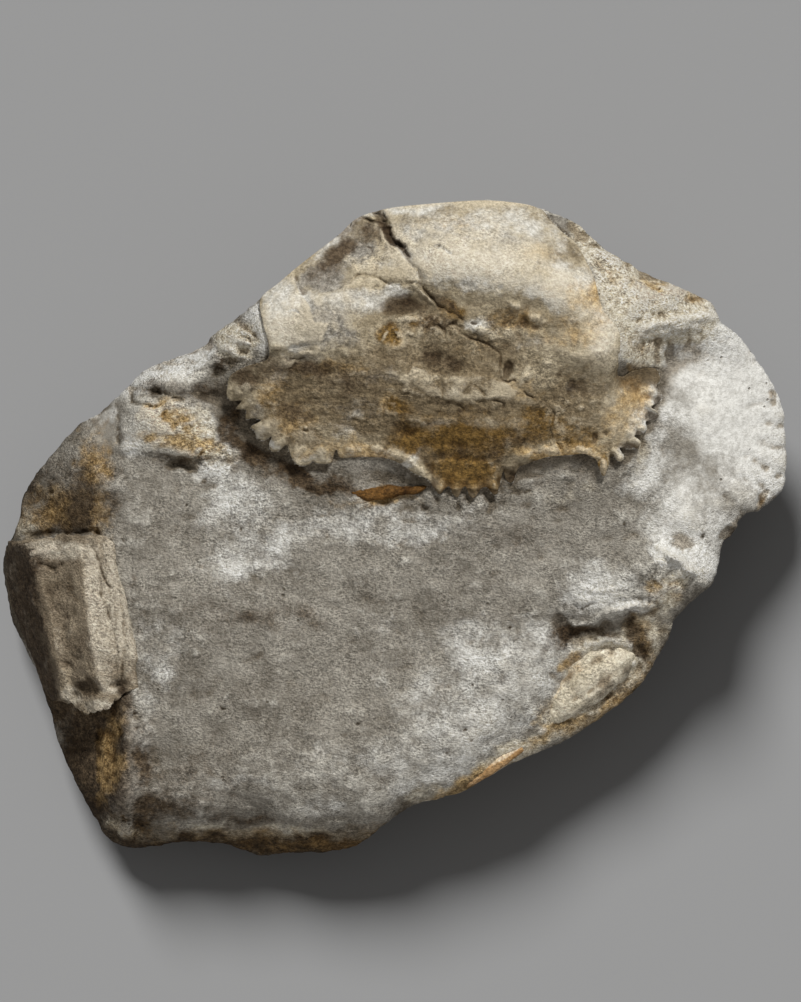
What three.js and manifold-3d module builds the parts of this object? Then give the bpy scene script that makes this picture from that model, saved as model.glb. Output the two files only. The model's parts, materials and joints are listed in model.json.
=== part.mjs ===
// A fossil crab lying in its loose block of chalk. Millimetres, +Z up, the origin under the middle of the
// block. The crab's front points to -Y. Each surface is a relief: spot heights joined by one smooth sheet,
// with ridges, grooves and ledges added along lines. The reliefs become solids, joined and cut to shape.
import * as THREE from 'three';
import Module from 'manifold-3d';
import { mergeVertices } from 'three/addons/utils/BufferGeometryUtils.js';

const wasm = await Module();
wasm.setup();

// Driving dimensions.
const CLEARANCE = 0.3; // between pieces that lie against each other
const SHELL_THICKNESS = 2.2;
const CHALK_GRID = 2.8; // distance between the chalk's surface points
const SHELL_GRID = 1.85;
const UNDERSIDE_GRID = 4.2;
const RIM_SECTORS = 116;
const BASE_INSET = 0.14; // how far the flat base lies inside the rim, as a share of its way to the middle
const BELLY_INSET = 0.045;
const EDGE_BAND = 1.2; // height of the upright band under the rim
const BELOW_ALL = -12;
const ABOVE_ALL = 70;
const SPOT_SOFTNESS = 2.2; // how round the sheet is over a spot height

const CLAW_STRETCH = 1.3; // a margin measured from the claw's middle comes out thinner on its flat faces
const ROUND_STRETCH = 1.2; // and on the flats of a round limb
const ON_LINES = { along: 0.8, beside: 1.1, closest: 0.35 }; // points along ridges, as shares
const BETWEEN = { closest: 0.62, beyond: 1.5, jitter: 0.3 }; // points between them, as shares of the spacing
const FAR_AWAY = 1e5;
const MERGE_GAP = 1e-4;

// Rings of the block's side, from the base up: share of the rim's height, inset, and roughness as shares.
const SIDE_RINGS = [[0, BASE_INSET, 0.01], [0.4, BELLY_INSET, 0.016], [0.75, 0.012, 0.01], [1, 0, 0]];

// The block's rim as seen from above, clockwise from the crab's hind edge.
const BLOCK_RIM = [
  [-6.3, 51.4], [-1.7, 52.9], [4.2, 53.6], [14.2, 54.3], [20.8, 53.8], [25, 52.8], [30.5, 50.4],
  [34.2, 46.7], [40.8, 42.9], [47.5, 39.9], [50.8, 38.6], [52.9, 37.2], [54.1, 34.6], [57, 32.4],
  [59.2, 30], [61, 27.4], [63.2, 24.2], [64.5, 21.2], [65.3, 18.2], [65.7, 12.3], [65.2, 7.3], [63.3, 4.8],
  [61, 3.2], [58.8, 2.5], [57.8, 1.5], [56.2, -1], [54.7, -2.3], [54.2, -5.2], [53.4, -8.6], [51.4, -10.6],
  [48.9, -12.8], [46.7, -15.3], [45.7, -18.6], [44, -21.2], [42.3, -24.4], [40, -27.2], [36.5, -30.2],
  [29.7, -34.8], [25.7, -36.8], [21, -38.6], [14.3, -42.3], [10.9, -44.2], [7.6, -45.1], [2.5, -46.6],
  [-2.5, -50.2], [-5, -52.4], [-8.4, -53.9], [-12.6, -54.4], [-17.6, -54.6], [-21.9, -55.1], [-25.2, -54.4],
  [-27.4, -53.4], [-30.2, -52.9], [-34.5, -52.6], [-38.6, -53.1], [-42.8, -53.7], [-45.8, -53.6],
  [-48.4, -52.2], [-50, -49.8], [-52.4, -45.6], [-54.5, -41.4], [-56.4, -37.2], [-57.6, -33],
  [-58.8, -28.8], [-60.2, -24.6], [-62.2, -20.4], [-64.4, -16.1], [-65.5, -11.5], [-66.1, -7.6], [-66, -4],
  [-64.8, -1.8], [-63.4, 1.5], [-62.8, 4.8], [-61.8, 7.3], [-59.3, 10.6], [-53.4, 17], [-50.6, 18.8],
  [-48.5, 20.2], [-44.4, 24], [-42.8, 25.6], [-39.9, 27.4], [-32, 30.2], [-30.2, 32.3], [-26.9, 34.5],
  [-22.2, 38], [-15.8, 43.5], [-9.2, 48.7],
];

// The carapace's edge, clockwise from its left corner: the hind edge, the right teeth, the right orbit, the
// front, the left orbit and the left teeth.
const SHELL_EDGE = [
  [-27.8, 23.5], [-27.2, 25.5], [-24.5, 27], [-21.2, 28], [-20.8, 30.2], [-21.8, 34], [-22.2, 38],
  [-19.2, 40.7], [-15.8, 43.6], [-12.5, 46.2], [-9.2, 48.8], [-6.3, 51.5], [-1.7, 53], [4.2, 53.7],
  [14.2, 54.4], [20.8, 53.9], [24.2, 52.9], [25.5, 51.4], [27.5, 49.2], [30, 47], [31.5, 44.2],
  [32.8, 41.5], [33.5, 38.5], [34.5, 35.7], [37, 32.3], [37, 25.6], [39.5, 26.3], [42.2, 26.8],
  [43.5, 26.3], [43.9, 24.8], [43.3, 23.4], [44.2, 22], [43.6, 21], [42.4, 20.3], [43.6, 19.4],
  [43.4, 18.3], [41.6, 17.9], [41.8, 16.7], [41.1, 15.9], [39.6, 15.5], [40.7, 14.6], [40.3, 13.5],
  [38.7, 13.4], [37.2, 13.5], [38, 12], [37.3, 11.2], [36, 12.1], [35.4, 10.6], [34.6, 8.8], [33.8, 10.2],
  [33.2, 11.7], [31.3, 12.5], [28.7, 12.3], [25.3, 12], [22.3, 11], [20.5, 10.2], [19.5, 7.8], [18.4, 8.2],
  [17.9, 9.6], [17, 6], [16.2, 5.9], [15.2, 7], [14.2, 6.6], [13.2, 5.2], [12.3, 5.6], [11.8, 7],
  [11.2, 6.8], [10.4, 5.3], [9.6, 5.8], [9, 7.1], [8.3, 6.8], [7.4, 5.8], [6.3, 7], [5.4, 8.3], [3, 9.4],
  [0.8, 10.9], [-1.7, 11.8], [-4.7, 12], [-7.2, 11.9], [-9.2, 11.9], [-9.7, 13.3], [-10.2, 12.2],
  [-10.6, 11], [-12.8, 10.9], [-13.6, 11.3], [-14.4, 10.7], [-15.8, 10.6], [-16.8, 11.3], [-17.5, 12.8],
  [-18, 14], [-19.2, 13.1], [-20.4, 12.9], [-20.9, 14], [-20.4, 15.4], [-21.6, 14.8], [-22.9, 15.2],
  [-23.3, 16.4], [-24, 17], [-22.2, 18], [-23.4, 18.4], [-24.8, 18.3], [-24.7, 19.8], [-26.4, 20],
  [-25.4, 21.3], [-27.2, 21.3], [-27.9, 22.3],
];

// Spot heights on the carapace: x, y, height.
const SHELL_SPOTS = [
  // hind edge and the flank that rises from it
  [-6.3, 51.8, 30], [0, 53.5, 31], [9, 54.4, 31.5], [17.5, 54.5, 31.5], [26, 52.6, 31], [-3, 47, 34.2],
  [5, 47.6, 37.4], [13, 47.8, 38.8], [22, 47, 38], [29, 45, 36],
  // crest
  [2, 42, 38.2], [8, 43.4, 40], [13, 43, 40.8], [20, 42, 40.8], [27, 40.4, 39.8], [32.5, 37.6, 37.8],
  // left flank and the plates on it
  [-12, 45.5, 33.5], [-20, 40, 34], [-21.5, 36, 35], [-17, 36, 37], [-14, 33, 38], [-8, 38, 37.4],
  [-9, 32, 37.5], [-3, 42, 37], [-20, 31.5, 36.2],
  // the slope below the plates, and the hollow beside the middle
  [-12, 27, 35.4], [-20, 26, 33.8], [-26, 24.5, 31.2], [0.5, 37, 36.2], [3, 32.5, 37.2],
  // the middle of the back
  [11.7, 35, 37.6], [12, 38.6, 38.8], [5.4, 37, 37.2], [7.5, 28, 36.2], [11.7, 30.5, 36.8], [17, 30, 36.6],
  // right dome, its furrow and the drop in front of it
  [21, 35.5, 38.2], [28, 35.5, 39], [32, 31, 38], [24, 30, 37.4], [36, 30, 36.8], [35.5, 27, 35.4],
  [31, 24, 34.2], [36, 22, 32.4], [25, 24.5, 35.2],
  // the slope to the front
  [11.7, 21, 35], [3, 21, 34.4], [20, 20, 34.6], [-7, 20, 32.8], [-15.8, 20, 31.8], [-22, 20, 31],
  [4, 15.5, 31.6], [11.7, 13, 30.4], [19, 13.5, 31], [27, 15, 31.2], [11.7, 6.3, 27.8],
  // left edge
  [-27.5, 23.5, 29.8], [-26, 20.5, 29], [-23.5, 17, 28.6], [-20.5, 13.8, 28.2], [-15.8, 11.2, 28.4],
  [-10, 11.8, 28.6], [-15, 15.5, 31], [-2, 12, 29.2], [3, 9.8, 28.4],
  // right edge
  [21.5, 11, 28.8], [30, 12.2, 28.8], [34.6, 9.5, 27.8], [37.3, 11.7, 28], [40.2, 14, 27.8],
  [43.3, 18.8, 27.8], [43.8, 22.5, 28], [42, 26.5, 29.2], [37.6, 25.6, 31.6], [37, 16, 30.2],
];

// Spot heights on the chalk.
const CHALK_SPOTS = [
  // the granular field, from the crab's front down to the lower edge
  [-24.2, 4.8, 26.2], [-7.5, 1.5, 26.8], [11.7, -0.2, 26.2], [27.5, 3.2, 25.9], [37.5, 1.5, 25.2],
  [-40.8, 1.5, 24], [-32.5, -5.2, 24.8], [-44.2, -11.8, 23], [-15.8, -11.8, 25.2], [0.8, -15.2, 24.6],
  [17.5, -15.2, 24], [24.2, -11.8, 23.8], [-32.5, -25.2, 22.8], [-12.5, -28.5, 23.2], [5.8, -28.5, 23.2],
  [16, -27.5, 23.2], [-40.8, -38.5, 19.4], [-30, -38, 21], [-22.5, -43, 20.4], [-14, -38.5, 22.2],
  [-7.5, -41, 21.6], [5.8, -37.5, 22], [0.8, -42, 20.4], [13, -34.6, 22], [-44.2, -47.5, 15.6],
  [-32.5, -47.6, 17], [-15.8, -48.6, 17], [-4.2, -45.4, 19.4], [27.5, -4.5, 24.8], [36, -2.4, 24.4],
  // lower rim
  [-42.5, -53, 10], [-30, -52.4, 10.4], [-21.7, -54.4, 9], [-9, -53.3, 12], [1, -46.6, 16.4],
  [9.2, -43.8, 17.2], [17.5, -39.8, 16.8], [27.5, -35.5, 15],
  // left side face
  [-46.2, -1.8, 22.4], [-47, 8, 22.6], [-55.8, 8.2, 16], [-60.8, 6.5, 11], [-53, 14.5, 17.4],
  [-48.7, 20.4, 19], [-45, -35, 21], [-50.2, -35.2, 14], [-55.4, -36, 8.4], [-47, -45.5, 17.6],
  [-49.8, -46.8, 11.4], [-55.8, -11.8, 15], [-62.5, -11.8, 8], [-45, -24, 21.2], [-56, -30, 10],
  [-47, 13.5, 21.4],
  // ledges and chunks at the upper left
  [-44, 24.6, 21.8], [-39.2, 26.8, 24], [-37.5, 24, 27.6], [-31.7, 29.6, 26.6], [-30, 26.5, 28.4],
  [-25.8, 30.7, 32], [-26.9, 34, 30.6], [-23, 37.2, 33], [-42.5, 17.3, 26], [-35.8, 16.5, 27],
  [-29.8, 15, 26.8], [-40.8, 9.4, 24], [-30.8, 8.6, 25],
  // the moat round the crab's left side and the chalk under its front
  [-29.4, 21.5, 26.6], [-26.4, 14.8, 26], [-19.6, 9.4, 26.2], [-12, 6.8, 26.8], [-4.2, 9, 27.6],
  [-9, 9.6, 27.4], [0.8, 8.6, 27.2], [0.8, 4.4, 26.6], [11.7, 3, 26.6], [24.2, 6.5, 27], [34.2, 5.8, 26.2],
  [27.5, 9, 27.6], [23, 9, 27.6], [31.5, 9.4, 27.2],
  // right of the crab, and the foot of the cliff
  [42.6, 13, 26], [45.6, 20, 26.2], [48, 25.6, 26], [50, 30.4, 26.2], [52.8, 32.4, 25.4],
  [38.4, 27.4, 32.6], [41, 28.6, 31], [40.2, 26.4, 30.2], [43, 26.4, 28.4], [44.4, 27, 27.6],
  [41, 31.4, 33.6], [46.6, 27.8, 26.8], [47, 33.4, 31.8], [51, 34.6, 29.4], [39.4, 33, 34.8],
  // the rough wedge
  [37.6, 36, 35.6], [40.8, 38.2, 34.4], [33.8, 45.6, 34], [37.5, 44, 32.6], [31, 49.4, 31.6],
  [47.5, 39, 30.4], [52.2, 36, 27.6], [45.4, 34.6, 32], [43, 42, 29], [50, 39, 27],
  // the white wing
  [55.4, 31.4, 24.6], [58, 29.6, 22], [61.6, 24.8, 19], [57, 21.5, 21.4], [64.4, 16.5, 15.8],
  [59, 13.2, 18.8], [51.4, 19.4, 24.6], [63.6, 7, 15], [57.5, 5.4, 19.4], [50.8, 8.2, 22.4],
  [48.8, 0.6, 23.2], [56.2, 0, 18.6], [62.8, 4.9, 15],
  // lower right: the crest, the lip over the hollow, its floor, and the outer rim
  [40.6, -1.6, 24.2], [44.6, -4.6, 25], [48.4, -7.2, 23.6], [47.4, -1.6, 22.6], [53.2, -5.2, 20.4],
  [52.2, -9.2, 18.8], [47.6, -11, 20.8], [37.5, -8.8, 24.4], [42.5, -10.4, 23.4], [28, -11.6, 23],
  [34.2, -13, 23], [38.6, -12.2, 23], [28.6, -16.4, 19.4], [34.2, -17.6, 19.2], [40.6, -17, 18.4],
  [42.4, -21.6, 16.2], [45, -17.4, 17.4], [41.6, -24, 15.4], [36.4, -29, 15.2], [30, -33.6, 15],
  [22.6, -25.4, 22], [19.4, -31.6, 20.8], [29, -25.2, 17.4], [25.6, -20.6, 21.4],
];

// Lines of [x, y, size] on the carapace. A ridge is raised along its line, or cut in if its size is negative.
const SHELL_RIDGES = [
  { width: 0.6, line: [
    [-3.3, 52.6, -0.6], [-1.5, 49, -0.4], [0.6, 46.8, -0.5], [2.5, 44.5, -0.3], [4.3, 41.5, -0.3],
  ] },
  { width: 0.6, line: [
    [4.3, 41.5, -0.3], [5, 39, -0.4], [7.5, 36.5, -0.3], [10, 35.2, -0.3], [12.5, 32, -0.3],
  ] },
  { width: 1, line: [[0.8, 34.6, 0.4], [3.8, 34.8, 0.4]] }, // lumps below it
  { width: 2, line: [[5.5, 29.5, -0.4], [10, 27.5, -0.4]] }, // pit over the stomach
  { width: 1.6, line: [[-1.5, 12.9, 0], [2, 11.6, 0.7], [5, 9, 0.6]] }, // rim of the left orbit
  { width: 1.5, line: [[21, 12.2, 0], [26, 13.2, 0.6], [32, 13.4, 0.5]] }, // rim of the right orbit
  { width: 1.7, line: [[-17.5, 18, 0], [-20.5, 15.5, 0.7], [-22.5, 16.6, 0.7]] },
];

// A ledge: the ground right of its line stands higher than the ground left of it.
const SHELL_LEDGES = [
  // edge of the left plates
  { width: 0.4, reach: 1.6, line: [
    [-8, 29.2, 0.15], [-12, 28.8, 0.35], [-16, 29.4, 0.4], [-20.6, 29.2, 0.3],
  ] },
];

// The same on the chalk.
const CHALK_RIDGES = [
  // crack under the upper left ledge
  { width: 0.9, line: [[-44, 23.4, -0.6], [-39, 22.4, -1.6], [-30, 22.3, -1]] },
  { width: 1.2, line: [[26.4, -13.6, -0.8], [28, -16.4, -1], [29, -18, -0.5]] }, // end of the hollow
  { width: 0.7, line: [[-62, -1.2, -0.4], [-50, -0.6, -0.5]] }, // crack above the claw
  // crack of the lower left edge
  { width: 0.6, line: [[-46, -29, -0.4], [-46.2, -38, -0.6], [-46, -48, -0.6]] },
  { width: 1.5, line: [[-47, -48.6, 1], [-45, -50.6, 1.2]] }, // knob at the lower left corner
];
const CHALK_LEDGES = [
  { width: 0.7, reach: 3, line: [[53.4, 34.2, 0.6], [46, 32.4, 1.4], [41, 31, 0.7]] }, // brow of the cliff
  { width: 0.6, reach: 3, line: [[-29, 12.6, 0.6], [-34, 10.8, 1.3], [-41, 11.6, 0.9]] }, // undercut chunk
  // lip
  { width: 0.6, reach: 2.6, line: [
    [44, -12.2, 1], [39.4, -13.4, 1.7], [34, -14.8, 1.8], [29.4, -14.8, 1.4], [26.6, -12.6, 0.8],
  ] },
  { width: 0.6, reach: 3, line: [[-27.6, 28.4, 1.2], [-31.5, 25.2, 1]] }, // foot of the striated lumps
  // crest at the lower right
  { width: 0.45, reach: 3.4, line: [[52, -9.4, 1], [49, -7, 1.9], [45.6, -4.2, 1.5], [41.6, -2.6, 0.3]] },
  // long edge at the lower left
  { width: 0.5, reach: 3, line: [[-46.6, -50, 1.2], [-46.4, -38, 2.6], [-46.2, -28, 2]] },
];

// Lines along the claw segment from its upper to its lower end, one for each edge of its section.
const CLAW_LINES = [
  [[-66, -2.6, 8], [-65.4, -12, 7.6], [-62.2, -20, 7.8], [-58.6, -28.6, 8.4]],
  [[-62.2, -3.4, 18], [-59, -12, 18.8], [-57.6, -20, 18.6], [-55.6, -28.2, 16.4]],
  [[-57.6, -2.6, 19.8], [-56, -12, 19.8], [-54.8, -20, 19.2], [-53, -29.6, 16.8]],
  [[-52.4, -1.9, 24], [-51.6, -12, 23.9], [-50.7, -20, 23.4], [-49.8, -28.2, 21.4]],
  [[-50.2, -1.6, 24], [-49, -12, 24], [-47.6, -20, 23.6], [-46.4, -27.6, 22]],
  [[-49.4, -1.7, 23], [-48.2, -12, 23.1], [-46.7, -20, 22.8], [-45.6, -27.4, 21.6]],
  [[-48.4, -1.9, 23.7], [-46.8, -12, 23.9], [-45.2, -20, 23.6], [-44.4, -27, 22]],
  [[-46.8, -2.4, 22.6], [-44.8, -12, 22.6], [-43.2, -20, 22.4], [-42.8, -26.4, 21.2]],
  [[-47.6, -3, 15], [-45.8, -12, 15], [-44.4, -20, 15], [-43.8, -26, 15.4]],
  [[-54, -3.6, 9.6], [-53.4, -12, 9.2], [-51.8, -20, 9.4], [-50, -27, 11]],
  [[-60.4, -3.2, 5.4], [-60.2, -12, 5], [-57.8, -20, 5.4], [-55, -27.6, 7]],
];

// The limbs of round section: [x, y, height of the middle, half width, half height] from end to end.
const LEG_STATIONS = [
  [40.2, -20.4, 15.8, 1.2, 1], [38, -21.2, 16.2, 2.9, 2.4], [34.4, -23.2, 16.4, 4.1, 3],
  [30.5, -26, 16.2, 4.3, 2.8], [27.2, -29.2, 15.8, 3.5, 2.4], [24.6, -32.4, 15.2, 1.4, 1.2],
];
const SLIVER_STATIONS = [
  [21.4, -36.8, 17, 0.4, 0.4], [18.4, -38.2, 16.9, 1.1, 1], [15.1, -40.3, 16.4, 1.3, 1.1],
  [12.1, -42.2, 15.6, 1, 0.9], [9.8, -43.6, 14.8, 0.4, 0.4],
];
const ORBIT_STATIONS = [
  [-7, 6.5, 25.8, 0.3, 0.3], [-5.2, 5.8, 26, 0.9, 0.8], [-1, 6.3, 26.3, 1.1, 1], [3, 6.4, 26.5, 0.8, 0.8],
  [4.9, 6.7, 26.7, 0.3, 0.3],
];
const LIMB_SIDES = 10;

// The numbers x that solve a square set of equations, whose rows end with their right-hand sides.
function solve(rows) {
  const n = rows.length;
  for (let i = 0; i < n; i += 1) {
    let pivot = i;
    for (let j = i + 1; j < n; j += 1) {
      if (Math.abs(rows[j][i]) > Math.abs(rows[pivot][i])) pivot = j;
    }
    [rows[i], rows[pivot]] = [rows[pivot], rows[i]];
    for (let j = i + 1; j < n; j += 1) {
      const factor = rows[j][i] / rows[i][i];
      for (let k = i; k <= n; k += 1) rows[j][k] -= factor * rows[i][k];
    }
  }
  const answer = new Array(n).fill(0);
  for (let i = n - 1; i >= 0; i -= 1) {
    let rest = rows[i][n];
    for (let k = i + 1; k < n; k += 1) rest -= rows[i][k] * answer[k];
    answer[i] = rest / rows[i][i];
  }
  return answer;
}

// A smooth sheet through spot heights, as a function of x and y.
function sheetThrough(spots) {
  const pull = (x, y, [u, v]) => Math.hypot(x - u, y - v, SPOT_SOFTNESS);
  const rows = spots.map(([x, y, height]) => [...spots.map((spot) => pull(x, y, spot)), 1, height]);
  rows.push([...spots.map(() => 1), 0, 0]);
  const weights = solve(rows);
  return (x, y) => spots.reduce((sum, spot, i) => sum + weights[i] * pull(x, y, spot), weights[spots.length]);
}

// The nearest place on a line of [x, y, size]: how far it is, how far to the left of it, and the size there.
function nearest(line, x, y) {
  let best = { distance: Infinity, left: 0, size: 0 };
  for (let i = 0; i + 1 < line.length; i += 1) {
    const [ax, ay, aSize] = line[i];
    const [bx, by, bSize] = line[i + 1];
    const run = Math.hypot(bx - ax, by - ay);
    const along = ((x - ax) * (bx - ax) + (y - ay) * (by - ay)) / (run * run);
    const t = Math.min(1, Math.max(0, along));
    const distance = Math.hypot(x - ax - t * (bx - ax), y - ay - t * (by - ay));
    if (distance < best.distance) {
      const left = ((bx - ax) * (y - ay) - (by - ay) * (x - ax)) / run;
      best = { distance, left, size: aSize + t * (bSize - aSize) };
    }
  }
  return best;
}

// A height function: the sheet with its ridges and ledges.
function relief(spots, ridges, ledges) {
  const sheet = sheetThrough(spots);
  return (x, y) => {
    let height = sheet(x, y);
    for (const { width, line } of ridges) {
      const { distance, size } = nearest(line, x, y);
      height += size * Math.exp(-((distance / width) ** 2));
    }
    for (const { width, reach, line } of ledges) {
      const { distance, left, size } = nearest(line, x, y);
      height -= 0.5 * size * Math.tanh(left / width) * Math.exp(-((distance / reach) ** 2));
    }
    return height;
  };
}

const shellTop = relief(SHELL_SPOTS, SHELL_RIDGES, SHELL_LEDGES);
const shellBottom = (x, y) => shellTop(x, y) - SHELL_THICKNESS;
const bedTop = (x, y) => shellBottom(x, y) - CLEARANCE;
const chalkTop = relief(CHALK_SPOTS, CHALK_RIDGES, CHALK_LEDGES);

// A number from 0 to 1 that looks random and is the same each time.
function scatterNumber(i, j) {
  const wave = Math.sin(i * 12.9898 + j * 78.233) * 43758.5453;
  return wave - Math.floor(wave);
}

function isInside(outline, x, y) {
  let inside = false;
  outline.forEach(([ax, ay], i) => {
    const [bx, by] = outline[(i + 1) % outline.length];
    if (ay > y !== by > y && x < ((bx - ax) * (y - ay)) / (by - ay) + ax) inside = !inside;
  });
  return inside;
}

// Points that cover an outline and a little more, denser along the given lines.
function coverPoints(outline, spacing, features) {
  const closed = [...outline, outline[0]].map(([x, y]) => [x, y, 0]);
  const points = [];
  const far = (x, y, gap) => points.every(([px, py]) => Math.hypot(px - x, py - y) > gap);
  for (const { width, line } of features) {
    for (let i = 0; i + 1 < line.length; i += 1) {
      const a = new THREE.Vector2(line[i][0], line[i][1]);
      const b = new THREE.Vector2(line[i + 1][0], line[i + 1][1]);
      const across = b.clone().sub(a).normalize().rotateAround(new THREE.Vector2(), Math.PI / 2);
      const steps = Math.ceil(a.distanceTo(b) / (ON_LINES.along * spacing));
      for (let s = 0; s <= steps; s += 1) {
        for (const side of [-ON_LINES.beside, 0, ON_LINES.beside]) {
          const p = a.clone().lerp(b, s / steps).addScaledVector(across, side * width);
          if (far(p.x, p.y, ON_LINES.closest * spacing)) points.push([p.x, p.y]);
        }
      }
    }
  }
  const xs = outline.map(([x]) => x);
  const ys = outline.map(([, y]) => y);
  const left = Math.min(...xs) - 2 * spacing;
  const right = Math.max(...xs) + 2 * spacing;
  const low = Math.min(...ys) - 2 * spacing;
  const high = Math.max(...ys) + 2 * spacing;
  const rowStep = spacing * Math.sqrt(0.75);
  for (let j = 0; low + j * rowStep < high; j += 1) {
    for (let i = 0; left + i * spacing < right; i += 1) {
      const x = left + spacing * (i + 0.5 * (j % 2) + BETWEEN.jitter * (scatterNumber(i, j) - 0.5));
      const y = low + rowStep * (j + BETWEEN.jitter * (scatterNumber(j, i + 7) - 0.5));
      const beyond = nearest(closed, x, y).distance;
      const near = isInside(outline, x, y) || beyond < BETWEEN.beyond * spacing;
      if (near && far(x, y, BETWEEN.closest * spacing)) points.push([x, y]);
    }
  }
  const edge = 3 * spacing;
  points.push([left - edge, low - edge], [right + edge, low - edge]);
  points.push([right + edge, high + edge], [left - edge, high + edge]);
  return points;
}

// Delaunay triangles of scattered points: each new point opens the triangles whose circles hold it.
function delaunay(points) {
  const all = [...points, [-FAR_AWAY, -FAR_AWAY], [FAR_AWAY, -FAR_AWAY], [0, FAR_AWAY]];
  const n = points.length;
  const withCircle = (a, b, c) => {
    const [ax, ay] = all[a];
    const bx = all[b][0] - ax;
    const by = all[b][1] - ay;
    const cx = all[c][0] - ax;
    const cy = all[c][1] - ay;
    const d = 2 * (bx * cy - by * cx);
    const ux = (cy * (bx * bx + by * by) - by * (cx * cx + cy * cy)) / d;
    const uy = (bx * (cx * cx + cy * cy) - cx * (bx * bx + by * by)) / d;
    return { corners: [a, b, c], x: ax + ux, y: ay + uy, r2: ux * ux + uy * uy };
  };
  let triangles = [withCircle(n, n + 1, n + 2)];
  points.forEach(([x, y], p) => {
    const edges = new Map();
    triangles = triangles.filter((t) => {
      if ((x - t.x) ** 2 + (y - t.y) ** 2 > t.r2) return true;
      const [a, b, c] = t.corners;
      for (const [u, v] of [[a, b], [b, c], [c, a]]) {
        if (!edges.delete(`${v},${u}`)) edges.set(`${u},${v}`, [u, v]);
      }
      return false;
    });
    for (const [u, v] of edges.values()) triangles.push(withCircle(u, v, p));
  });
  return triangles.map((t) => t.corners).filter((corners) => corners.every((corner) => corner < n));
}

// The solid inside a closed geometry.
function solidOf(geometry) {
  const bare = geometry.clone();
  bare.deleteAttribute('normal');
  bare.deleteAttribute('uv');
  const merged = mergeVertices(bare, MERGE_GAP);
  return new wasm.Manifold(new wasm.Mesh({
    numProp: 3,
    vertProperties: new Float32Array(merged.attributes.position.array),
    triVerts: new Uint32Array(merged.index.array),
  }));
}

function geometryOf(vertices, triangles) {
  const geometry = new THREE.BufferGeometry();
  geometry.setAttribute('position', new THREE.Float32BufferAttribute(vertices.flat(), 3));
  geometry.setIndex(triangles.flat());
  return geometry;
}

// The solid between a relief over scattered points and a level far below it, or far above.
function reliefSolid(points, height, level) {
  const triangles = delaunay(points);
  const n = points.length;
  const vertices = [
    ...points.map(([x, y]) => [x, y, height(x, y)]),
    ...points.map(([x, y]) => [x, y, level]),
  ];
  const below = level < 0;
  const faces = [];
  const open = new Map();
  for (const [a, b, c] of triangles) {
    faces.push(below ? [a, b, c] : [a, c, b], below ? [a + n, c + n, b + n] : [a + n, b + n, c + n]);
    for (const [u, v] of [[a, b], [b, c], [c, a]]) {
      if (!open.delete(`${v},${u}`)) open.set(`${u},${v}`, [u, v]);
    }
  }
  for (const [u, v] of open.values()) {
    faces.push(below ? [u, u + n, v + n] : [u, v + n, u + n], below ? [u, v + n, v] : [u, v, v + n]);
  }
  return solidOf(geometryOf(vertices, faces));
}

// A closed body through rings of equally many points, capped at both ends.
function loft(rings) {
  const count = rings[0].length;
  const vertices = rings.flat().map((p) => [p.x, p.y, p.z]);
  const faces = [];
  for (let r = 0; r + 1 < rings.length; r += 1) {
    for (let i = 0; i < count; i += 1) {
      const a = r * count + i;
      const b = r * count + ((i + 1) % count);
      faces.push([a, b, b + count], [a, b + count, a + count]);
    }
  }
  const cap = (ring, first, flip) => {
    const middle = ring.reduce((sum, p) => sum.add(p), new THREE.Vector3()).divideScalar(count);
    vertices.push([middle.x, middle.y, middle.z]);
    const hub = vertices.length - 1;
    for (let i = 0; i < count; i += 1) {
      const next = (i + 1) % count;
      faces.push(flip ? [hub, first + next, first + i] : [hub, first + i, first + next]);
    }
  };
  cap(rings[0], 0, true);
  cap(rings[rings.length - 1], (rings.length - 1) * count, false);
  return geometryOf(vertices, faces);
}

// The upright prism over an outline, grown outwards by a margin.
function prism(outline, margin) {
  const count = outline.length;
  const grown = outline.map(([x, y], i) => {
    const [ax, ay] = outline[(i + count - 1) % count];
    const [bx, by] = outline[(i + 1) % count];
    const before = new THREE.Vector2(ay - y, x - ax).normalize();
    const after = new THREE.Vector2(y - by, bx - x).normalize();
    const out = before.add(after).normalize();
    return new THREE.Vector2(x + out.x * margin, y + out.y * margin);
  });
  const depth = 2 * (ABOVE_ALL - BELOW_ALL);
  const geometry = new THREE.ExtrudeGeometry(new THREE.Shape(grown), { depth, bevelEnabled: false });
  geometry.translate(0, 0, 2 * BELOW_ALL);
  return solidOf(geometry);
}

// The block's sides: upright above the rim, drawn in to the flat base below it.
function blockSides() {
  const corners = BLOCK_RIM.map(([x, y]) => new THREE.Vector3(x, y, 0));
  const curve = new THREE.CatmullRomCurve3(corners, true, 'centripetal');
  const rim = curve.getSpacedPoints(RIM_SECTORS).slice(0, RIM_SECTORS).reverse();
  const rings = SIDE_RINGS.map(([shareOfHeight, inset, roughness], seed) => rim.map((p, i) => {
    const top = chalkTop(p.x, p.y) - EDGE_BAND;
    const drawIn = 1 - inset - roughness * (scatterNumber(i, seed + 1) - 0.5);
    return new THREE.Vector3(p.x * drawIn, p.y * drawIn, top * shareOfHeight);
  }));
  rings.push(rim.map((p) => new THREE.Vector3(p.x, p.y, ABOVE_ALL)));
  return solidOf(loft(rings));
}

// The claw segment between its long edges, grown outwards by a margin.
function clawSolid(margin) {
  const stations = CLAW_LINES[0].length;
  const rings = [];
  for (let s = 0; s < stations; s += 1) {
    const ring = CLAW_LINES.map((line) => new THREE.Vector3(...line[s]));
    const middle = ring.reduce((sum, p) => sum.add(p), new THREE.Vector3()).divideScalar(ring.length);
    const stretch = s === 0 ? margin : s === stations - 1 ? -margin : 0;
    rings.push(ring.map((p) => {
      const out = p.clone().sub(middle).setY(0).normalize();
      return p.addScaledVector(out, margin * CLAW_STRETCH).add(new THREE.Vector3(0, stretch, 0));
    }).reverse());
  }
  return solidOf(loft(rings));
}

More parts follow.
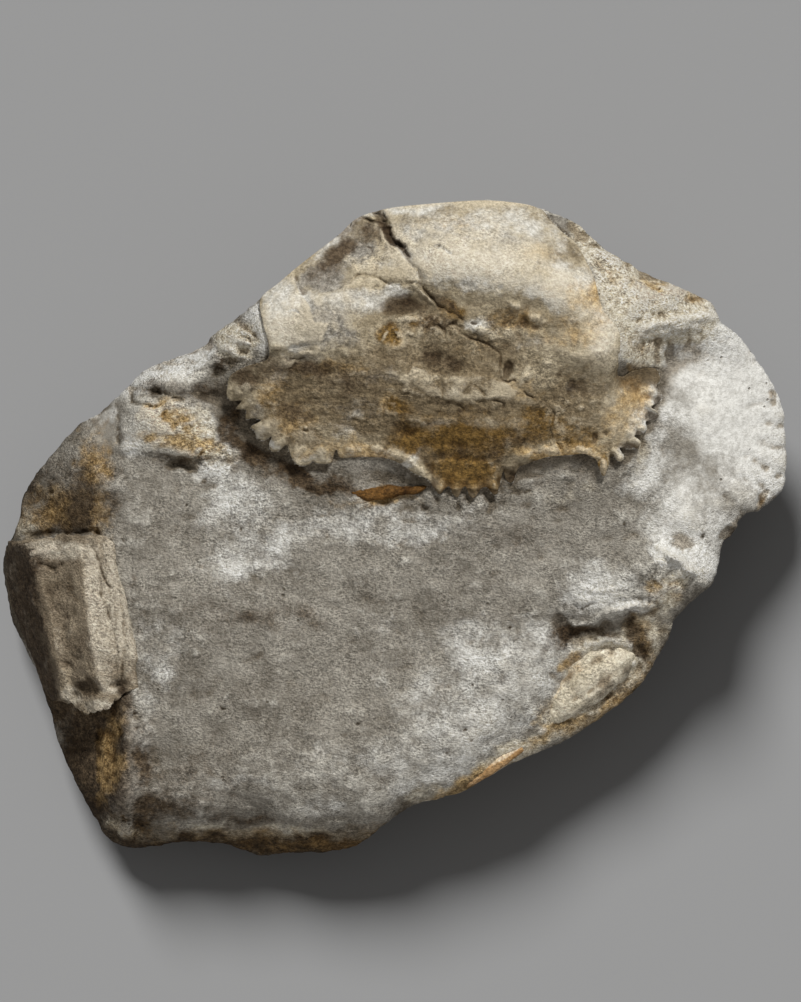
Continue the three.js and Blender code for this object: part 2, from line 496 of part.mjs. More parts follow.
// A limb of round section along its stations, grown outwards by a margin.
function limbSolid(stations, margin) {
  const rings = stations.map(([x, y, z, halfWidth, halfHeight], s) => {
    const [ax, ay] = stations[Math.max(0, s - 1)];
    const [bx, by] = stations[Math.min(stations.length - 1, s + 1)];
    const along = new THREE.Vector2(bx - ax, by - ay).normalize();
    const stretch = s === 0 ? -margin : s === stations.length - 1 ? margin : 0;
    const ring = [];
    for (let i = 0; i < LIMB_SIDES; i += 1) {
      const angle = (2 * Math.PI * i) / LIMB_SIDES;
      const across = Math.cos(angle) * (halfWidth + margin * ROUND_STRETCH);
      const up = Math.sin(angle) * (halfHeight + margin * ROUND_STRETCH);
      const px = x + along.y * across + along.x * stretch;
      const py = y - along.x * across + along.y * stretch;
      ring.push(new THREE.Vector3(px, py, z + up));
    }
    return ring.reverse();
  });
  return solidOf(loft(rings));
}

const shellPoints = coverPoints(SHELL_EDGE, SHELL_GRID, [...SHELL_RIDGES, ...SHELL_LEDGES]);
const undersidePoints = coverPoints(SHELL_EDGE, UNDERSIDE_GRID, []);
const chalkPoints = coverPoints(BLOCK_RIM, CHALK_GRID, [...CHALK_RIDGES, ...CHALK_LEDGES]);

const carapace = reliefSolid(shellPoints, shellTop, BELOW_ALL)
  .intersect(reliefSolid(undersidePoints, shellBottom, ABOVE_ALL))
  .intersect(prism(SHELL_EDGE, 0));
const claw = clawSolid(0);
const leg = limbSolid(LEG_STATIONS, 0);
const sliver = limbSolid(SLIVER_STATIONS, 0);
const orbitRim = limbSolid(ORBIT_STATIONS, 0);

const sides = blockSides();
const bedCore = reliefSolid(undersidePoints, shellTop, BELOW_ALL)
  .intersect(prism(SHELL_EDGE, 0))
  .intersect(sides);
const bedCut = reliefSolid(undersidePoints, bedTop, ABOVE_ALL).intersect(prism(SHELL_EDGE, CLEARANCE));
let chalk = reliefSolid(chalkPoints, chalkTop, BELOW_ALL).intersect(sides).add(bedCore).subtract(bedCut);
for (const hole of [
  clawSolid(CLEARANCE),
  limbSolid(LEG_STATIONS, CLEARANCE),
  limbSolid(SLIVER_STATIONS, CLEARANCE),
  limbSolid(ORBIT_STATIONS, CLEARANCE),
]) {
  chalk = chalk.subtract(hole);
}

const part = new THREE.Group();

function addPiece(name, solid, colour, roughness) {
  const mesh = solid.getMesh();
  const geometry = new THREE.BufferGeometry();
  geometry.setAttribute('position', new THREE.BufferAttribute(mesh.vertProperties, 3));
  geometry.setIndex(new THREE.BufferAttribute(mesh.triVerts, 1));
  geometry.computeVertexNormals();
  const surface = new THREE.MeshStandardMaterial({ color: colour, roughness, metalness: 0 });
  const piece = new THREE.Mesh(geometry, surface);
  piece.name = name;
  part.add(piece);
}

addPiece('matrix', chalk, 0x9f9a92, 0.95);
addPiece('carapace', carapace, 0xa8946c, 0.8);
addPiece('left_claw_segment', claw, 0xb3a48a, 0.8);
addPiece('right_leg_segment', leg, 0xb59b72, 0.75);
addPiece('leg_sliver', sliver, 0xa9743f, 0.7);
addPiece('orbit_rim', orbitRim, 0x6f4a22, 0.7);

export default part;
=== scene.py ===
import json
import math

import bpy
import numpy as np
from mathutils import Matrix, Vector, noise

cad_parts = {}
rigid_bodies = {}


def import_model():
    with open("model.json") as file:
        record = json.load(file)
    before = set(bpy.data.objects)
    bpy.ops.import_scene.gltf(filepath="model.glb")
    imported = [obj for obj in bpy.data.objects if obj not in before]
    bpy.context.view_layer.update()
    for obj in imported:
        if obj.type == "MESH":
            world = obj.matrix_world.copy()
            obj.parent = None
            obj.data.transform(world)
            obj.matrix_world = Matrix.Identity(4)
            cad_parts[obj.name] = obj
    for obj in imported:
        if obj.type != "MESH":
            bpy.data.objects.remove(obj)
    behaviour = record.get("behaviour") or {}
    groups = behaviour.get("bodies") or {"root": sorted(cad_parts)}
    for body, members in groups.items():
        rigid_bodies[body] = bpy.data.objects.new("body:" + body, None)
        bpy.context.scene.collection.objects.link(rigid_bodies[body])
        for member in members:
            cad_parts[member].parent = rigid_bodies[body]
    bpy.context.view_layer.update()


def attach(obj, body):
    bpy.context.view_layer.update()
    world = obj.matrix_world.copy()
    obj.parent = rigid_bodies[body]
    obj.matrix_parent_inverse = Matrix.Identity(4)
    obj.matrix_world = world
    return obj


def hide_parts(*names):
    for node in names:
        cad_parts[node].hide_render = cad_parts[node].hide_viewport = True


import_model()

# --------------------------------------------------------------------------------------------------------
# The table, lamps and camera. The block lies on a plain grey table. One lamp throws its shadow there, two
# others and a weak even sky light the block itself, and the camera hangs straight above on a long lens.
TABLE_SIDE = 4.0
TABLE_GREY = 0.36
TABLE_ROUGHNESS = 0.9
TABLE_SHINE = 0.1

bpy.ops.mesh.primitive_plane_add(size=TABLE_SIDE)
table_top = bpy.context.object
table_top.name = "table_top"
table_paint = bpy.data.materials.new("table_paint")
table_paint.use_nodes = True
table_shader = table_paint.node_tree.nodes["Principled BSDF"]
table_shader.inputs["Base Color"].default_value = (TABLE_GREY, TABLE_GREY, TABLE_GREY, 1)
table_shader.inputs["Roughness"].default_value = TABLE_ROUGHNESS
table_shader.inputs["Specular IOR Level"].default_value = TABLE_SHINE
table_top.data.materials.append(table_paint)


def add_lamp(name, azimuth, elevation, strength, softness, colour):
    """A far lamp and the set of things it lights. Azimuth 0 is behind the block, 90 is to its right."""
    lamp = bpy.data.lights.new(name, "SUN")
    lamp.angle = math.radians(softness)
    lamp.energy = strength
    lamp.color = colour
    holder = bpy.data.objects.new(name, lamp)
    a, e = math.radians(azimuth), math.radians(elevation)
    away = Vector((math.sin(a) * math.cos(e), math.cos(a) * math.cos(e), math.sin(e)))
    holder.location = away
    holder.rotation_mode = "QUATERNION"
    holder.rotation_quaternion = away.to_track_quat("Z", "Y")
    bpy.context.scene.collection.objects.link(holder)
    lit = bpy.data.collections.new(name + "_lights")
    holder.light_linking.receiver_collection = lit
    return lit


table_lamp = add_lamp("table_lamp", azimuth=-20, elevation=39.5, strength=3.55, softness=21,
                      colour=(1.0, 1.0, 1.0))
table_lamp.objects.link(table_top)
block_lamp = add_lamp("block_lamp", azimuth=18, elevation=44, strength=3.5, softness=8,
                      colour=(1.0, 0.99, 0.965))
fill_lamp = add_lamp("fill_lamp", azimuth=190, elevation=58, strength=0.85, softness=80,
                     colour=(1.0, 0.985, 0.96))

SKY_COLOUR = (1.0, 0.985, 0.97, 1)
SKY_STRENGTH = 0.16
sky = bpy.data.worlds.new("studio")
sky.use_nodes = True
sky.node_tree.nodes["Background"].inputs["Color"].default_value = SKY_COLOUR
sky.node_tree.nodes["Background"].inputs["Strength"].default_value = SKY_STRENGTH
bpy.context.scene.world = sky
bpy.context.scene.view_settings.view_transform = "Standard"

CAMERA_PLACE = (0.0009, 0.0047, 1.222)
VIEW_LEVEL = 0.022  # a level near the block's top, where the frame is VIEW_HEIGHT tall
VIEW_HEIGHT = 0.167
SENSOR = 36
camera_lens = bpy.data.cameras.new("camera")
camera_lens.sensor_width = SENSOR
camera_lens.lens = SENSOR * (CAMERA_PLACE[2] - VIEW_LEVEL) / VIEW_HEIGHT
camera_lens.clip_start = 0.05
camera_lens.clip_end = 20
camera = bpy.data.objects.new("camera", camera_lens)
camera.location = CAMERA_PLACE
bpy.context.scene.collection.objects.link(camera)
bpy.context.scene.camera = camera


# --------------------------------------------------------------------------------------------------------
# The carapace. The crab's back shell, a thin domed plate turned to stone: cream on its hind flank and ochre
# towards the front, with teeth along both sides, a scooped socket for each eye, and cracks and steps where
# it has split. The chalk that set round it still holds it. X runs to the right, Y towards its hind edge.
MM = 0.001
SHELL_CELL = 0.2
SHELL_THICKNESS = 2.2
# The outline from above, clockwise from the left corner: (x, y) in mm.
SHELL_EDGE = [
    (-27.8, 23.5), (-27.2, 25.5), (-24.5, 27), (-21.2, 28), (-20.8, 30.2), (-21.8, 34), (-22.2, 38),
    (-19.2, 40.7), (-15.8, 43.6), (-12.5, 46.2), (-9.2, 48.8), (-6.3, 51.5), (-1.7, 53), (4.2, 53.7),
    (14.2, 54.4), (20.8, 53.9), (24.2, 52.9), (25.5, 51.4), (27.5, 49.2), (30, 47), (31.5, 44.2),
    (32.8, 41.5), (33.5, 38.5), (34.5, 35.7), (37, 32.3), (37, 25.6), (39.5, 26.3), (42.2, 26.8),
    (43.5, 26.3), (43.9, 24.8), (43.3, 23.4), (44.2, 22), (43.6, 21), (42.4, 20.3), (43.6, 19.4),
    (43.4, 18.3), (41.6, 17.9), (41.8, 16.7), (41.1, 15.9), (39.6, 15.5), (40.7, 14.6), (40.3, 13.5),
    (38.7, 13.4), (37.2, 13.5), (38, 12), (37.3, 11.2), (36, 12.1), (35.4, 10.6), (34.6, 8.8),
    (33.8, 10.2), (33.2, 11.7), (31.3, 12.5), (28.7, 12.3), (25.3, 12), (22.3, 11), (20.5, 10.2),
    (19.5, 7.8), (18.4, 8.2), (17.9, 9.6), (17, 6), (16.2, 5.9), (15.2, 7), (14.2, 6.6), (13.2, 5.2),
    (12.3, 5.6), (11.8, 7), (11.2, 6.8), (10.4, 5.3), (9.6, 5.8), (9, 7.1), (8.3, 6.8), (7.4, 5.8),
    (6.3, 7), (5.4, 8.3), (3, 9.4), (0.8, 10.9), (-1.7, 11.8), (-4.7, 12), (-7.2, 11.9), (-9.2, 11.9),
    (-9.7, 13.3), (-10.2, 12.2), (-10.6, 11), (-12.8, 10.9), (-13.6, 11.3), (-14.4, 10.7), (-15.8, 10.6),
    (-16.8, 11.3), (-17.5, 12.8), (-18, 14), (-19.2, 13.1), (-20.4, 12.9), (-20.9, 14), (-20.4, 15.4),
    (-21.6, 14.8), (-22.9, 15.2), (-23.3, 16.4), (-24, 17), (-22.2, 18), (-23.4, 18.4), (-24.8, 18.3),
    (-24.7, 19.8), (-26.4, 20), (-25.4, 21.3), (-27.2, 21.3), (-27.9, 22.3),
]
EDGE_STEP = 0.25
# Spot heights of the smooth back: (x, y, height) in mm over the flat base of the block.
SHELL_SPOTS = [
    # hind edge and the flank that rises from it
    (-6.3, 51.8, 30), (0, 53.5, 31), (9, 54.4, 31.5), (17.5, 54.5, 31.5), (26, 52.6, 31), (-3, 47, 34.2),
    (5, 47.6, 37.4), (13, 47.8, 38.8), (22, 47, 38), (29, 45, 36),
    # crest
    (2, 42, 38.2), (8, 43.4, 40), (13, 43, 40.8), (20, 42, 40.8), (27, 40.4, 39.8), (32.5, 37.6, 37.8),
    # left flank and the plates on it
    (-12, 45.5, 33.5), (-20, 40, 34), (-21.5, 36, 35), (-17, 36, 37), (-14, 33, 38), (-8, 38, 37.4),
    (-9, 32, 37.5), (-3, 42, 37), (-20, 31.5, 36.2),
    # the slope below the plates, and the hollow beside the middle
    (-12, 27, 35.4), (-20, 26, 33.8), (-26, 24.5, 31.2), (0.5, 37, 36.2), (3, 32.5, 37.2),
    # the middle of the back
    (11.7, 35, 37.6), (12, 38.6, 38.8), (5.4, 37, 37.2), (7.5, 28, 36.2), (11.7, 30.5, 36.8),
    (17, 30, 36.6),
    # right dome, its furrow and the drop in front of it
    (21, 35.5, 38.2), (28, 35.5, 39), (32, 31, 38), (24, 30, 37.4), (36, 30, 36.8), (35.5, 27, 35.4),
    (31, 24, 34.2), (36, 22, 32.4), (25, 24.5, 35.2),
    # the slope to the front
    (11.7, 21, 35), (3, 21, 34.4), (20, 20, 34.6), (-7, 20, 32.8), (-15.8, 20, 31.8), (-22, 20, 31),
    (4, 15.5, 31.6), (11.7, 13, 30.4), (19, 13.5, 31), (27, 15, 31.2), (11.7, 6.3, 27.8),
    # left edge
    (-27.5, 23.5, 29.8), (-26, 20.5, 29), (-23.5, 17, 28.6), (-20.5, 13.8, 28.2), (-15.8, 11.2, 28.4),
    (-10, 11.8, 28.6), (-15, 15.5, 31), (-2, 12, 29.2), (3, 9.8, 28.4),
    # right edge
    (21.5, 11, 28.8), (30, 12.2, 28.8), (34.6, 9.5, 27.8), (37.3, 11.7, 28), (40.2, 14, 27.8),
    (43.3, 18.8, 27.8), (43.8, 22.5, 28), (42, 26.5, 29.2), (37.6, 25.6, 31.6), (37, 16, 30.2),
]
SPOT_SOFTNESS = 2.2
# (width, [(x, y, height), ...]): raised along the line, or cut in where the height is negative.
SHELL_RIDGES = [
    (0.6, [(-3.3, 52.6, -0.6), (-1.5, 49, -0.4), (0.6, 46.8, -0.5), (2.5, 44.5, -0.3),
     (4.3, 41.5, -0.3)]),
    (0.6, [(4.3, 41.5, -0.2), (5, 39, -0.25), (7.5, 36.5, -0.15), (10, 35.2, -0.1), (12.5, 32, -0.1)]),
    (1, [(0.8, 34.6, 0.4), (3.8, 34.8, 0.4)]),  # lumps beside its lower end
    (2, [(5.5, 29.5, -0.4), (10, 27.5, -0.4)]),  # pit over the stomach
    (1.6, [(-1.5, 12.9, 0), (2, 11.6, 0.7), (5, 9, 0.6)]),  # rim of the left orbit
    (1.5, [(21, 12.2, 0), (26, 13.2, 0.6), (32, 13.4, 0.5)]),  # rim of the right orbit
    (1.7, [(-17.5, 18, 0), (-20.5, 15.5, 0.7), (-22.5, 16.6, 0.7)]),
]
# (width, reach, [(x, y, drop), ...]): the ground right of the line stands higher than that left of it.
SHELL_LEDGES = [
    # edge of the left plates
    (0.4, 1.6, [(-8, 29.2, 0.15), (-12, 28.8, 0.35), (-16, 29.4, 0.4), (-20.6, 29.2, 0.3)]),
]
# (step, softness, outline): an area that stands higher, or lower where the step is negative.
SHELL_PLATES = [
    # the white plate at the left, the grey scar behind it and the worn strip along the rim
    (0.35, 0.2, [(-21.5, 37.2), (-19.2, 39.8), (-16.5, 42.2), (-15.3, 38.8), (-13.8, 36.5), (-13.3, 34),
     (-10.8, 33.8), (-12.2, 30.8), (-14.5, 30.7), (-15.8, 30.3), (-17.5, 29.8), (-20.2, 29.8),
     (-21, 31.5), (-21.7, 33.2), (-22.2, 35.2)]),
    (-0.35, 0.25, [(-15.5, 42.8), (-12.5, 43.8), (-9.2, 44.5), (-7.2, 43.8), (-7.5, 41.2), (-9, 39.8),
     (-11.8, 39), (-15.2, 38.7)]),
    (-0.3, 0.4, [(-15.8, 43.5), (-12.2, 44.5), (-9.5, 44.2), (-7.5, 45.5), (-4.8, 45.2), (-2.5, 46.8),
     (-1.8, 49.5), (-3.8, 50.8), (-6.5, 51.8), (-10.8, 48.8)]),
    # the cream plate between the wavy crack and the long one
    (0.15, 0.25, [(-8.8, 40), (-6.2, 41.5), (-3.5, 41.7), (-0.3, 40.2), (3.8, 40.3), (2.8, 38.8),
     (0.2, 38.7), (-2.5, 37.2), (-3.8, 35.8), (-8.3, 35.8)]),
    # the drop to the hollow beside the middle
    (-0.22, 0.25, [(-2.8, 36.6), (-1.5, 37.8), (0.5, 38.5), (2.5, 39.1), (4.8, 38.3), (6.5, 36.8),
     (8.5, 35.7), (5.8, 35.2), (2.2, 35.5), (0.2, 35.2), (-1.8, 35.4)]),
    (-0.15, 0.4, [(4.2, 40.2), (6.2, 40.8), (8.2, 40.5), (9.5, 38.5), (9.5, 36.2), (7.5, 36.2),
     (5.5, 38.5)]),
    # the scar over the stomach and the loose flake beside it
    (-0.3, 0.3, [(4.7, 30.2), (6.2, 31), (8.3, 30.7), (10.8, 30.3), (11, 26.2), (8.5, 25.2), (5.8, 25.8),
     (4.3, 27.8)]),
    (0.15, 0.2, [(7.5, 30.2), (10.7, 30), (10.8, 27.2), (7.7, 25.8)]),
    (-0.6, 0.3, [(17.8, 27.2), (18.5, 27.8), (19.5, 27.5), (19.7, 25.8), (18.8, 24.8), (18, 25.3)]),
    # the flat of the middle and the worn band in front of it
    (0.35, 0.3, [(1.2, 25.5), (4.2, 26.5), (7.7, 25), (12.5, 25.3), (17.2, 24.7), (20.8, 22.8),
     (19.5, 21.5), (12.5, 21.5), (8.3, 21.5), (4.2, 22), (1.5, 22.8)]),
    (-0.3, 0.4, [(0.2, 21.2), (7.5, 21), (18.3, 20.8), (25, 20.2), (24.2, 18.2), (10.8, 18.7),
     (0.8, 18.5)]),
    # the sunk field in front of the right dome
    (-0.3, 0.7, [(26.8, 25.5), (30, 26.2), (34.2, 26.2), (36.5, 25.8), (36.5, 23.5), (35.2, 22),
     (30.8, 21.8), (28.5, 22.8)]),
    # the plate of the front
    (0.35, 0.2, [(6.5, 11.3), (9.2, 11.7), (12.5, 11), (16.5, 11.3), (17.2, 6.5), (6.5, 6.5)]),
    (-0.5, 0.3, [(18, 10.2), (19.5, 9.5), (20.5, 7.5), (18.3, 7.3)]),
]
# Finer lines, as in SHELL_RIDGES: first the cracks, then what stands up.
SHELL_CRACKS = [
    # the long crack from the hind edge to the middle
    (0.6, [(-3.2, 52.8, -0.9), (-2.4, 51.8, -1), (-1.7, 50.4, -0.9), (-1.3, 48.8, -0.7),
     (-0.5, 47.5, -0.9), (0.7, 46.7, -0.8), (1.7, 45.8, -0.7), (2.3, 45, -0.5)]),
    (0.25, [(-2, 52.4, -0.6), (-1, 50.6, -0.7), (-0.9, 48.9, -0.7), (0, 47.4, -0.9), (1.4, 46.6, -0.8),
     (2.3, 45, -0.6)]),
    (0.25, [(-2.4, 49.6, 0.4), (-2, 48.2, 0.5), (-1, 46.8, 0.4), (0.2, 46, 0.3)]),
    (0.26, [(-5.7, 51.7, -0.35), (-4.2, 51.2, -0.7), (-2.8, 51, -0.84), (-1.8, 50.8, -0.84)]),
    (0.21, [(0, 48.3, -0.35), (1, 47.2, -0.63), (2.2, 46.2, -0.49)]),
    (0.2, [(2, 44.5, -0.5), (2.8, 43.5, -0.5), (3.8, 43.3, -0.35), (4.2, 42, -0.35), (4.2, 40.3, -0.4),
     (5, 39.3, -0.6), (6, 38.2, -0.65), (7, 36.8, -0.6), (8.5, 36, -0.45), (10, 35.3, -0.4),
     (11.3, 34.5, -0.3)]),
    # round the plates of the left flank
    (0.2, [(-9.2, 39.8, -0.14), (-7.5, 40.8, -0.32), (-6.2, 41.7, -0.39), (-4.8, 42, -0.39),
     (-3.5, 41.8, -0.39), (-2.3, 41.3, -0.39), (-1.5, 40.7, -0.39), (-0.3, 40.2, -0.35), (1, 40.2, -0.28),
     (2.5, 40.5, -0.35), (4.2, 40.5, -0.42)]),
    (0.24, [(-16.5, 42.5, -0.28), (-16.3, 41.3, -0.7), (-16, 40.3, -0.84), (-15.5, 39.5, -0.42),
     (-15, 38.5, -0.24), (-14.3, 37.7, -0.32), (-13.8, 36.5, -0.32), (-13.7, 35.2, -0.28),
     (-13.3, 34.2, -0.14)]),
    (0.17, [(-17.5, 36, -0.21), (-16.5, 36, -0.28), (-15.8, 35.5, -0.28), (-15.2, 34.8, -0.14)]),
    (0.15, [(-15.8, 37, -0.14), (-15.2, 36.2, -0.21), (-14.7, 35.5, -0.14)]),
    (0.15, [(-11.3, 36.2, -0.17), (-10.7, 35.8, -0.24), (-10, 35.2, -0.17)]),
    (0.19, [(-4.7, 46.7, -0.35), (-4, 46.3, -0.56), (-3.7, 45.5, -0.49), (-4.3, 44.8, -0.28)]),
    (0.19, [(-7.3, 44.2, -0.28), (-6.5, 43.7, -0.42), (-5.3, 44.5, -0.28), (-4.2, 44.7, -0.14)]),
    (0.26, [(-20.2, 29.7, -0.35), (-18.5, 29.7, -0.45), (-17, 30, -0.5), (-15.7, 30.3, -0.5),
     (-14.3, 30.5, -0.4), (-12.8, 31, -0.2)]),
    (0.22, [(-17.3, 28, -0.49), (-16.2, 28, -0.42), (-15, 28.3, -0.28)]),
    # short nicks in the hind flank
    (0.22, [(6.3, 46.7, -0.28), (7.5, 46.5, -0.56), (8.5, 45.8, -0.7), (9.2, 45.2, -0.35)]),
    (0.19, [(9.8, 48.8, -0.21), (10.8, 48.3, -0.42)]),
    (0.19, [(11.8, 48.2, -0.21), (13, 47.8, -0.35), (13.8, 47.7, -0.14)]),
    (0.22, [(25.2, 52, -0.63), (26.3, 50.7, -0.42), (27.5, 49.2, -0.21)]),
    # from the middle round a flake to the right eye
    (0.18, [(10, 33.3, -0.3), (11.5, 32, -0.45), (12.5, 31.3, -0.5), (13.8, 31.2, -0.4),
     (15.2, 30.5, -0.45), (16.3, 29.7, -0.45), (17.3, 28.7, -0.4), (17.3, 27.2, -0.4), (17.2, 26, -0.45),
     (17.8, 24.8, -0.5), (18.7, 24.2, -0.5), (19.7, 24.5, -0.35)]),
    (0.17, [(19.7, 24.5, -0.3), (20.7, 23.3, -0.4), (21.8, 22.2, -0.5), (23, 21.8, -0.45),
     (24.2, 21.8, -0.4), (25.2, 20.8, -0.35), (26, 19.7, -0.35), (26.2, 18.2, -0.35), (25.8, 16.7, -0.35),
     (26.2, 15.2, -0.35), (27.2, 13.8, -0.45), (28, 12.3, -0.4)]),
    (0.2, [(4.7, 32.8, -0.35), (5.8, 33.7, -0.56), (7, 33.7, -0.56), (8, 33, -0.42), (8.3, 31.7, -0.28)]),
    (0.17, [(6.2, 32.8, -0.35), (6.3, 31.5, -0.35)]),
    (0.17, [(8.7, 32.7, -0.35), (9.2, 31.8, -0.42), (9.5, 31.2, -0.28)]),
    (0.22, [(8, 33.2, -0.28), (9.5, 34, -0.42), (11.2, 33.2, -0.49)]),
    # the seam of the middle and the arcs in front of it
    (0.17, [(7.7, 25.2, -0.21), (7.8, 23.2, -0.24), (7.8, 21.3, -0.21)]),
    (0.26, [(8, 21, -0.28), (9.5, 21, -0.49), (10.8, 20.5, -0.49), (11.3, 19.8, -0.28)]),
    (0.26, [(13.8, 21, -0.21), (15.5, 21.3, -0.49), (17, 21.3, -0.56), (18, 20.8, -0.49),
     (17.8, 20.2, -0.35)]),
    (0.17, [(13.2, 23.7, -0.24), (14.5, 22.7, -0.32), (15.5, 22, -0.14)]),
    (0.19, [(-1.5, 21.5, -0.28), (-1.8, 20.2, -0.35), (-2, 18.2, -0.35)]),
    (0.15, [(0, 22.5, -0.17), (1.7, 22.5, -0.28), (3.2, 22.2, -0.14)]),
    (0.22, [(37, 32.8, -0.28), (37.1, 30.7, -0.42), (37, 28.2, -0.42), (37, 25.5, -0.42)]),
]
SHELL_FOLDS = [
    # raised lip beside the long crack, and the border of the hind flank
    (0.28, [(3.3, 40.2, 0.4), (4.5, 39, 0.6), (5.7, 37.8, 0.6), (6.5, 37, 0.3)]),
    (0.6, [(26.8, 50, 0.3), (28, 48.7, 0.5), (29.2, 47.7, 0.6), (30.3, 46.5, 0.6), (31.2, 45.2, 0.5),
     (31.7, 43.5, 0.3)]),
    # rims of the eye sockets
    (0.9, [(-9.8, 13.8, 0), (-8.2, 13.5, 0.5), (-5.8, 13.2, 0.5), (-2.5, 13.3, 0.7), (0, 12.7, 0.8),
     (2.5, 11.3, 0.8), (4.2, 9.8, 0.8), (5.5, 8.2, 0.5)]),
    (0.8, [(21.2, 11.8, 0.3), (22.8, 12.5, 0.6), (25, 12.8, 0.6), (27.2, 12.5, 0.3)]),
    (0.7, [(28.7, 12.7, 0.2), (30.2, 13.2, 0.6), (31.8, 13, 0.7), (33.2, 12, 0.6), (34.2, 10.5, 0.5)]),
    # ridges of the left teeth
    (1.1, [(-23.2, 23.8, 0), (-24.8, 23.5, 0.5), (-26.5, 22.7, 0.7), (-27.7, 22.2, 0.4)]),
    (0.8, [(-22.2, 21.2, 0), (-23.8, 20.8, 0.4), (-25.3, 20.2, 0.4)]),
    (1, [(-18.5, 17.5, 0), (-20.5, 17.2, 0.5), (-22.2, 16.8, 0.7), (-23.3, 16.8, 0.3)]),
    (0.9, [(-17.2, 15.5, 0), (-18.7, 14.7, 0.5), (-19.8, 13.8, 0.6)]),
    (1.1, [(-14.8, 14.2, 0), (-15.5, 12.8, 0.6), (-16.2, 11.5, 0.6)]),
    (1.1, [(-11.5, 14.5, 0), (-11.7, 12.8, 0.6), (-12.2, 11.5, 0.5)]),
    # ridges of the right teeth
    (0.8, [(40.2, 23.5, 0), (42, 23.2, 0.7), (43.3, 22.8, 0.7)]),
    (0.6, [(40.8, 21.3, 0), (42.2, 20.8, 0.9), (43.3, 19.8, 1)]),
    (0.6, [(38.8, 18.5, 0), (40.2, 17.7, 0.8), (41.2, 16.7, 0.9)]),
    (0.6, [(37.8, 16.5, 0), (39.2, 15.5, 0.8), (40.3, 14.3, 0.9)]),
    (0.6, [(35.2, 13.8, 0), (36.5, 13, 0.8), (37.3, 11.8, 0.8)]),
    (0.8, [(33.8, 12.8, 0.4), (34.5, 11.2, 0.8), (34.7, 9.5, 0.8)]),
    # teeth of the front
    (0.5, [(7.5, 8.8, 0), (7.5, 7.5, 0.4), (7.5, 6.3, 0.4)]),
    (0.5, [(10.3, 8.2, 0), (10.3, 6.8, 0.4), (10.3, 5.7, 0.4)]),
    (0.5, [(13, 8.2, 0), (13, 6.8, 0.4), (13, 5.5, 0.4)]),
    (0.5, [(16.3, 8.8, 0.2), (16.5, 7.5, 0.4), (16.7, 6.3, 0.4)]),
    # raised edges below the left plates, and lumps round the middle
    (0.35, [(-18.5, 27.8, 0.3), (-17.3, 27.3, 0.5), (-16, 27.8, 0.2)]),
    (0.35, [(-15.8, 28.8, 0.3), (-14.5, 29.2, 0.5), (-13, 28.8, 0.3)]),
    (0.35, [(0, 34.2, 0.3), (1.6, 34.9, 0.5), (3.2, 34.6, 0.4)]),
    (0.3, [(-2.4, 33.6, 0.2), (-1.2, 32.6, 0.4), (-2, 31.2, 0.3)]),
    (0.3, [(-0.4, 33.2, 0.3), (0.6, 32, 0.4), (0, 30.8, 0.2)]),
    (0.3, [(1.4, 33, 0.2), (2.6, 32.2, 0.4), (4, 32.8, 0.3)]),
    (0.8, [(12.5, 33.8, 0.2), (14.2, 33, 0.6), (15.8, 32, 0.7), (17.5, 31.7, 0.7), (18.8, 32.5, 0.5)]),
    (0.6, [(19.2, 37.2, 0.6), (20.2, 36.7, 0.6)]),
    (0.8, [(21.5, 35.8, 0.2), (23, 34.7, 0.7), (25, 34.2, 0.3)]),
    (0.9, [(23.5, 27.2, 0), (21.5, 25.2, 0.7), (20.5, 24.5, 0.5)]),
    (1.2, [(0.8, 25, 0.4), (3, 25.8, 0.7), (4.8, 24.5, 0.5), (6.2, 22.8, 0.2)]),
    (0.9, [(27.5, 29.5, 0.2), (30.8, 28.5, 0.5), (34.2, 28.8, 0.4)]),
]
# (x, y, half length, half width, turn in degrees, depth), and a knob where the depth is positive.
SHELL_PITS = [
    (18.5, 26.2, 0.58, 0.75, 0, -0.5), (-14.8, 16.5, 0.5, 0.33, -30, -0.6),
    (-14.8, 16.7, 0.27, 0.27, 0, 0.6), (-14.7, 16, 0.27, 0.23, 0, 0.6), (2.8, 52.5, 0.33, 0.25, 0, -0.3),
    (39.2, 13.5, 1.33, 0.83, 0, -0.9), (40.5, 15.8, 0.67, 0.67, 0, -0.8), (42.5, 18.7, 1, 0.67, 15, -0.8),
    (43.7, 21, 0.5, 0.67, 0, -0.8), (36, 11.7, 0.5, 0.83, 20, -0.8), (33.2, 15.2, 0.5, 0.83, 0, -0.6),
    (34.7, 15.8, 0.5, 0.5, 0, -0.4), (14.2, 37.3, 2.33, 0.83, 0, -0.15),
    (19.7, 37.7, 0.67, 0.5, 0, -0.25), (21.5, 34, 0.67, 1.17, 10, -0.3),
    (23.2, 33.2, 0.67, 0.67, 0, -0.35), (9.8, 34, 0.5, 0.33, 40, -0.5), (13, 34, 0.67, 0.33, 0, -0.6),
    (17.2, 39.5, 0.67, 0.5, 0, -0.25), (23.3, 36.7, 2.67, 0.83, 4, -0.15), (29, 33.3, 1.6, 1.3, 0, -0.3),
    (32.5, 21.2, 0.83, 0.67, 0, 0.2), (28.3, 21, 0.67, 0.5, 0, 0.25), (28, 19.8, 0.5, 0.5, 0, 0.2),
    (30.8, 20.2, 0.67, 0.5, 0, 0.2), (-22.5, 25.5, 4.33, 1.5, 6, -0.25), (-10.8, 26.2, 3, 1, 0, -0.25),
    (2.5, 16.5, 2.67, 1.33, 0, -0.5), (7.5, 14.2, 5, 0.83, 0, -0.3),
]
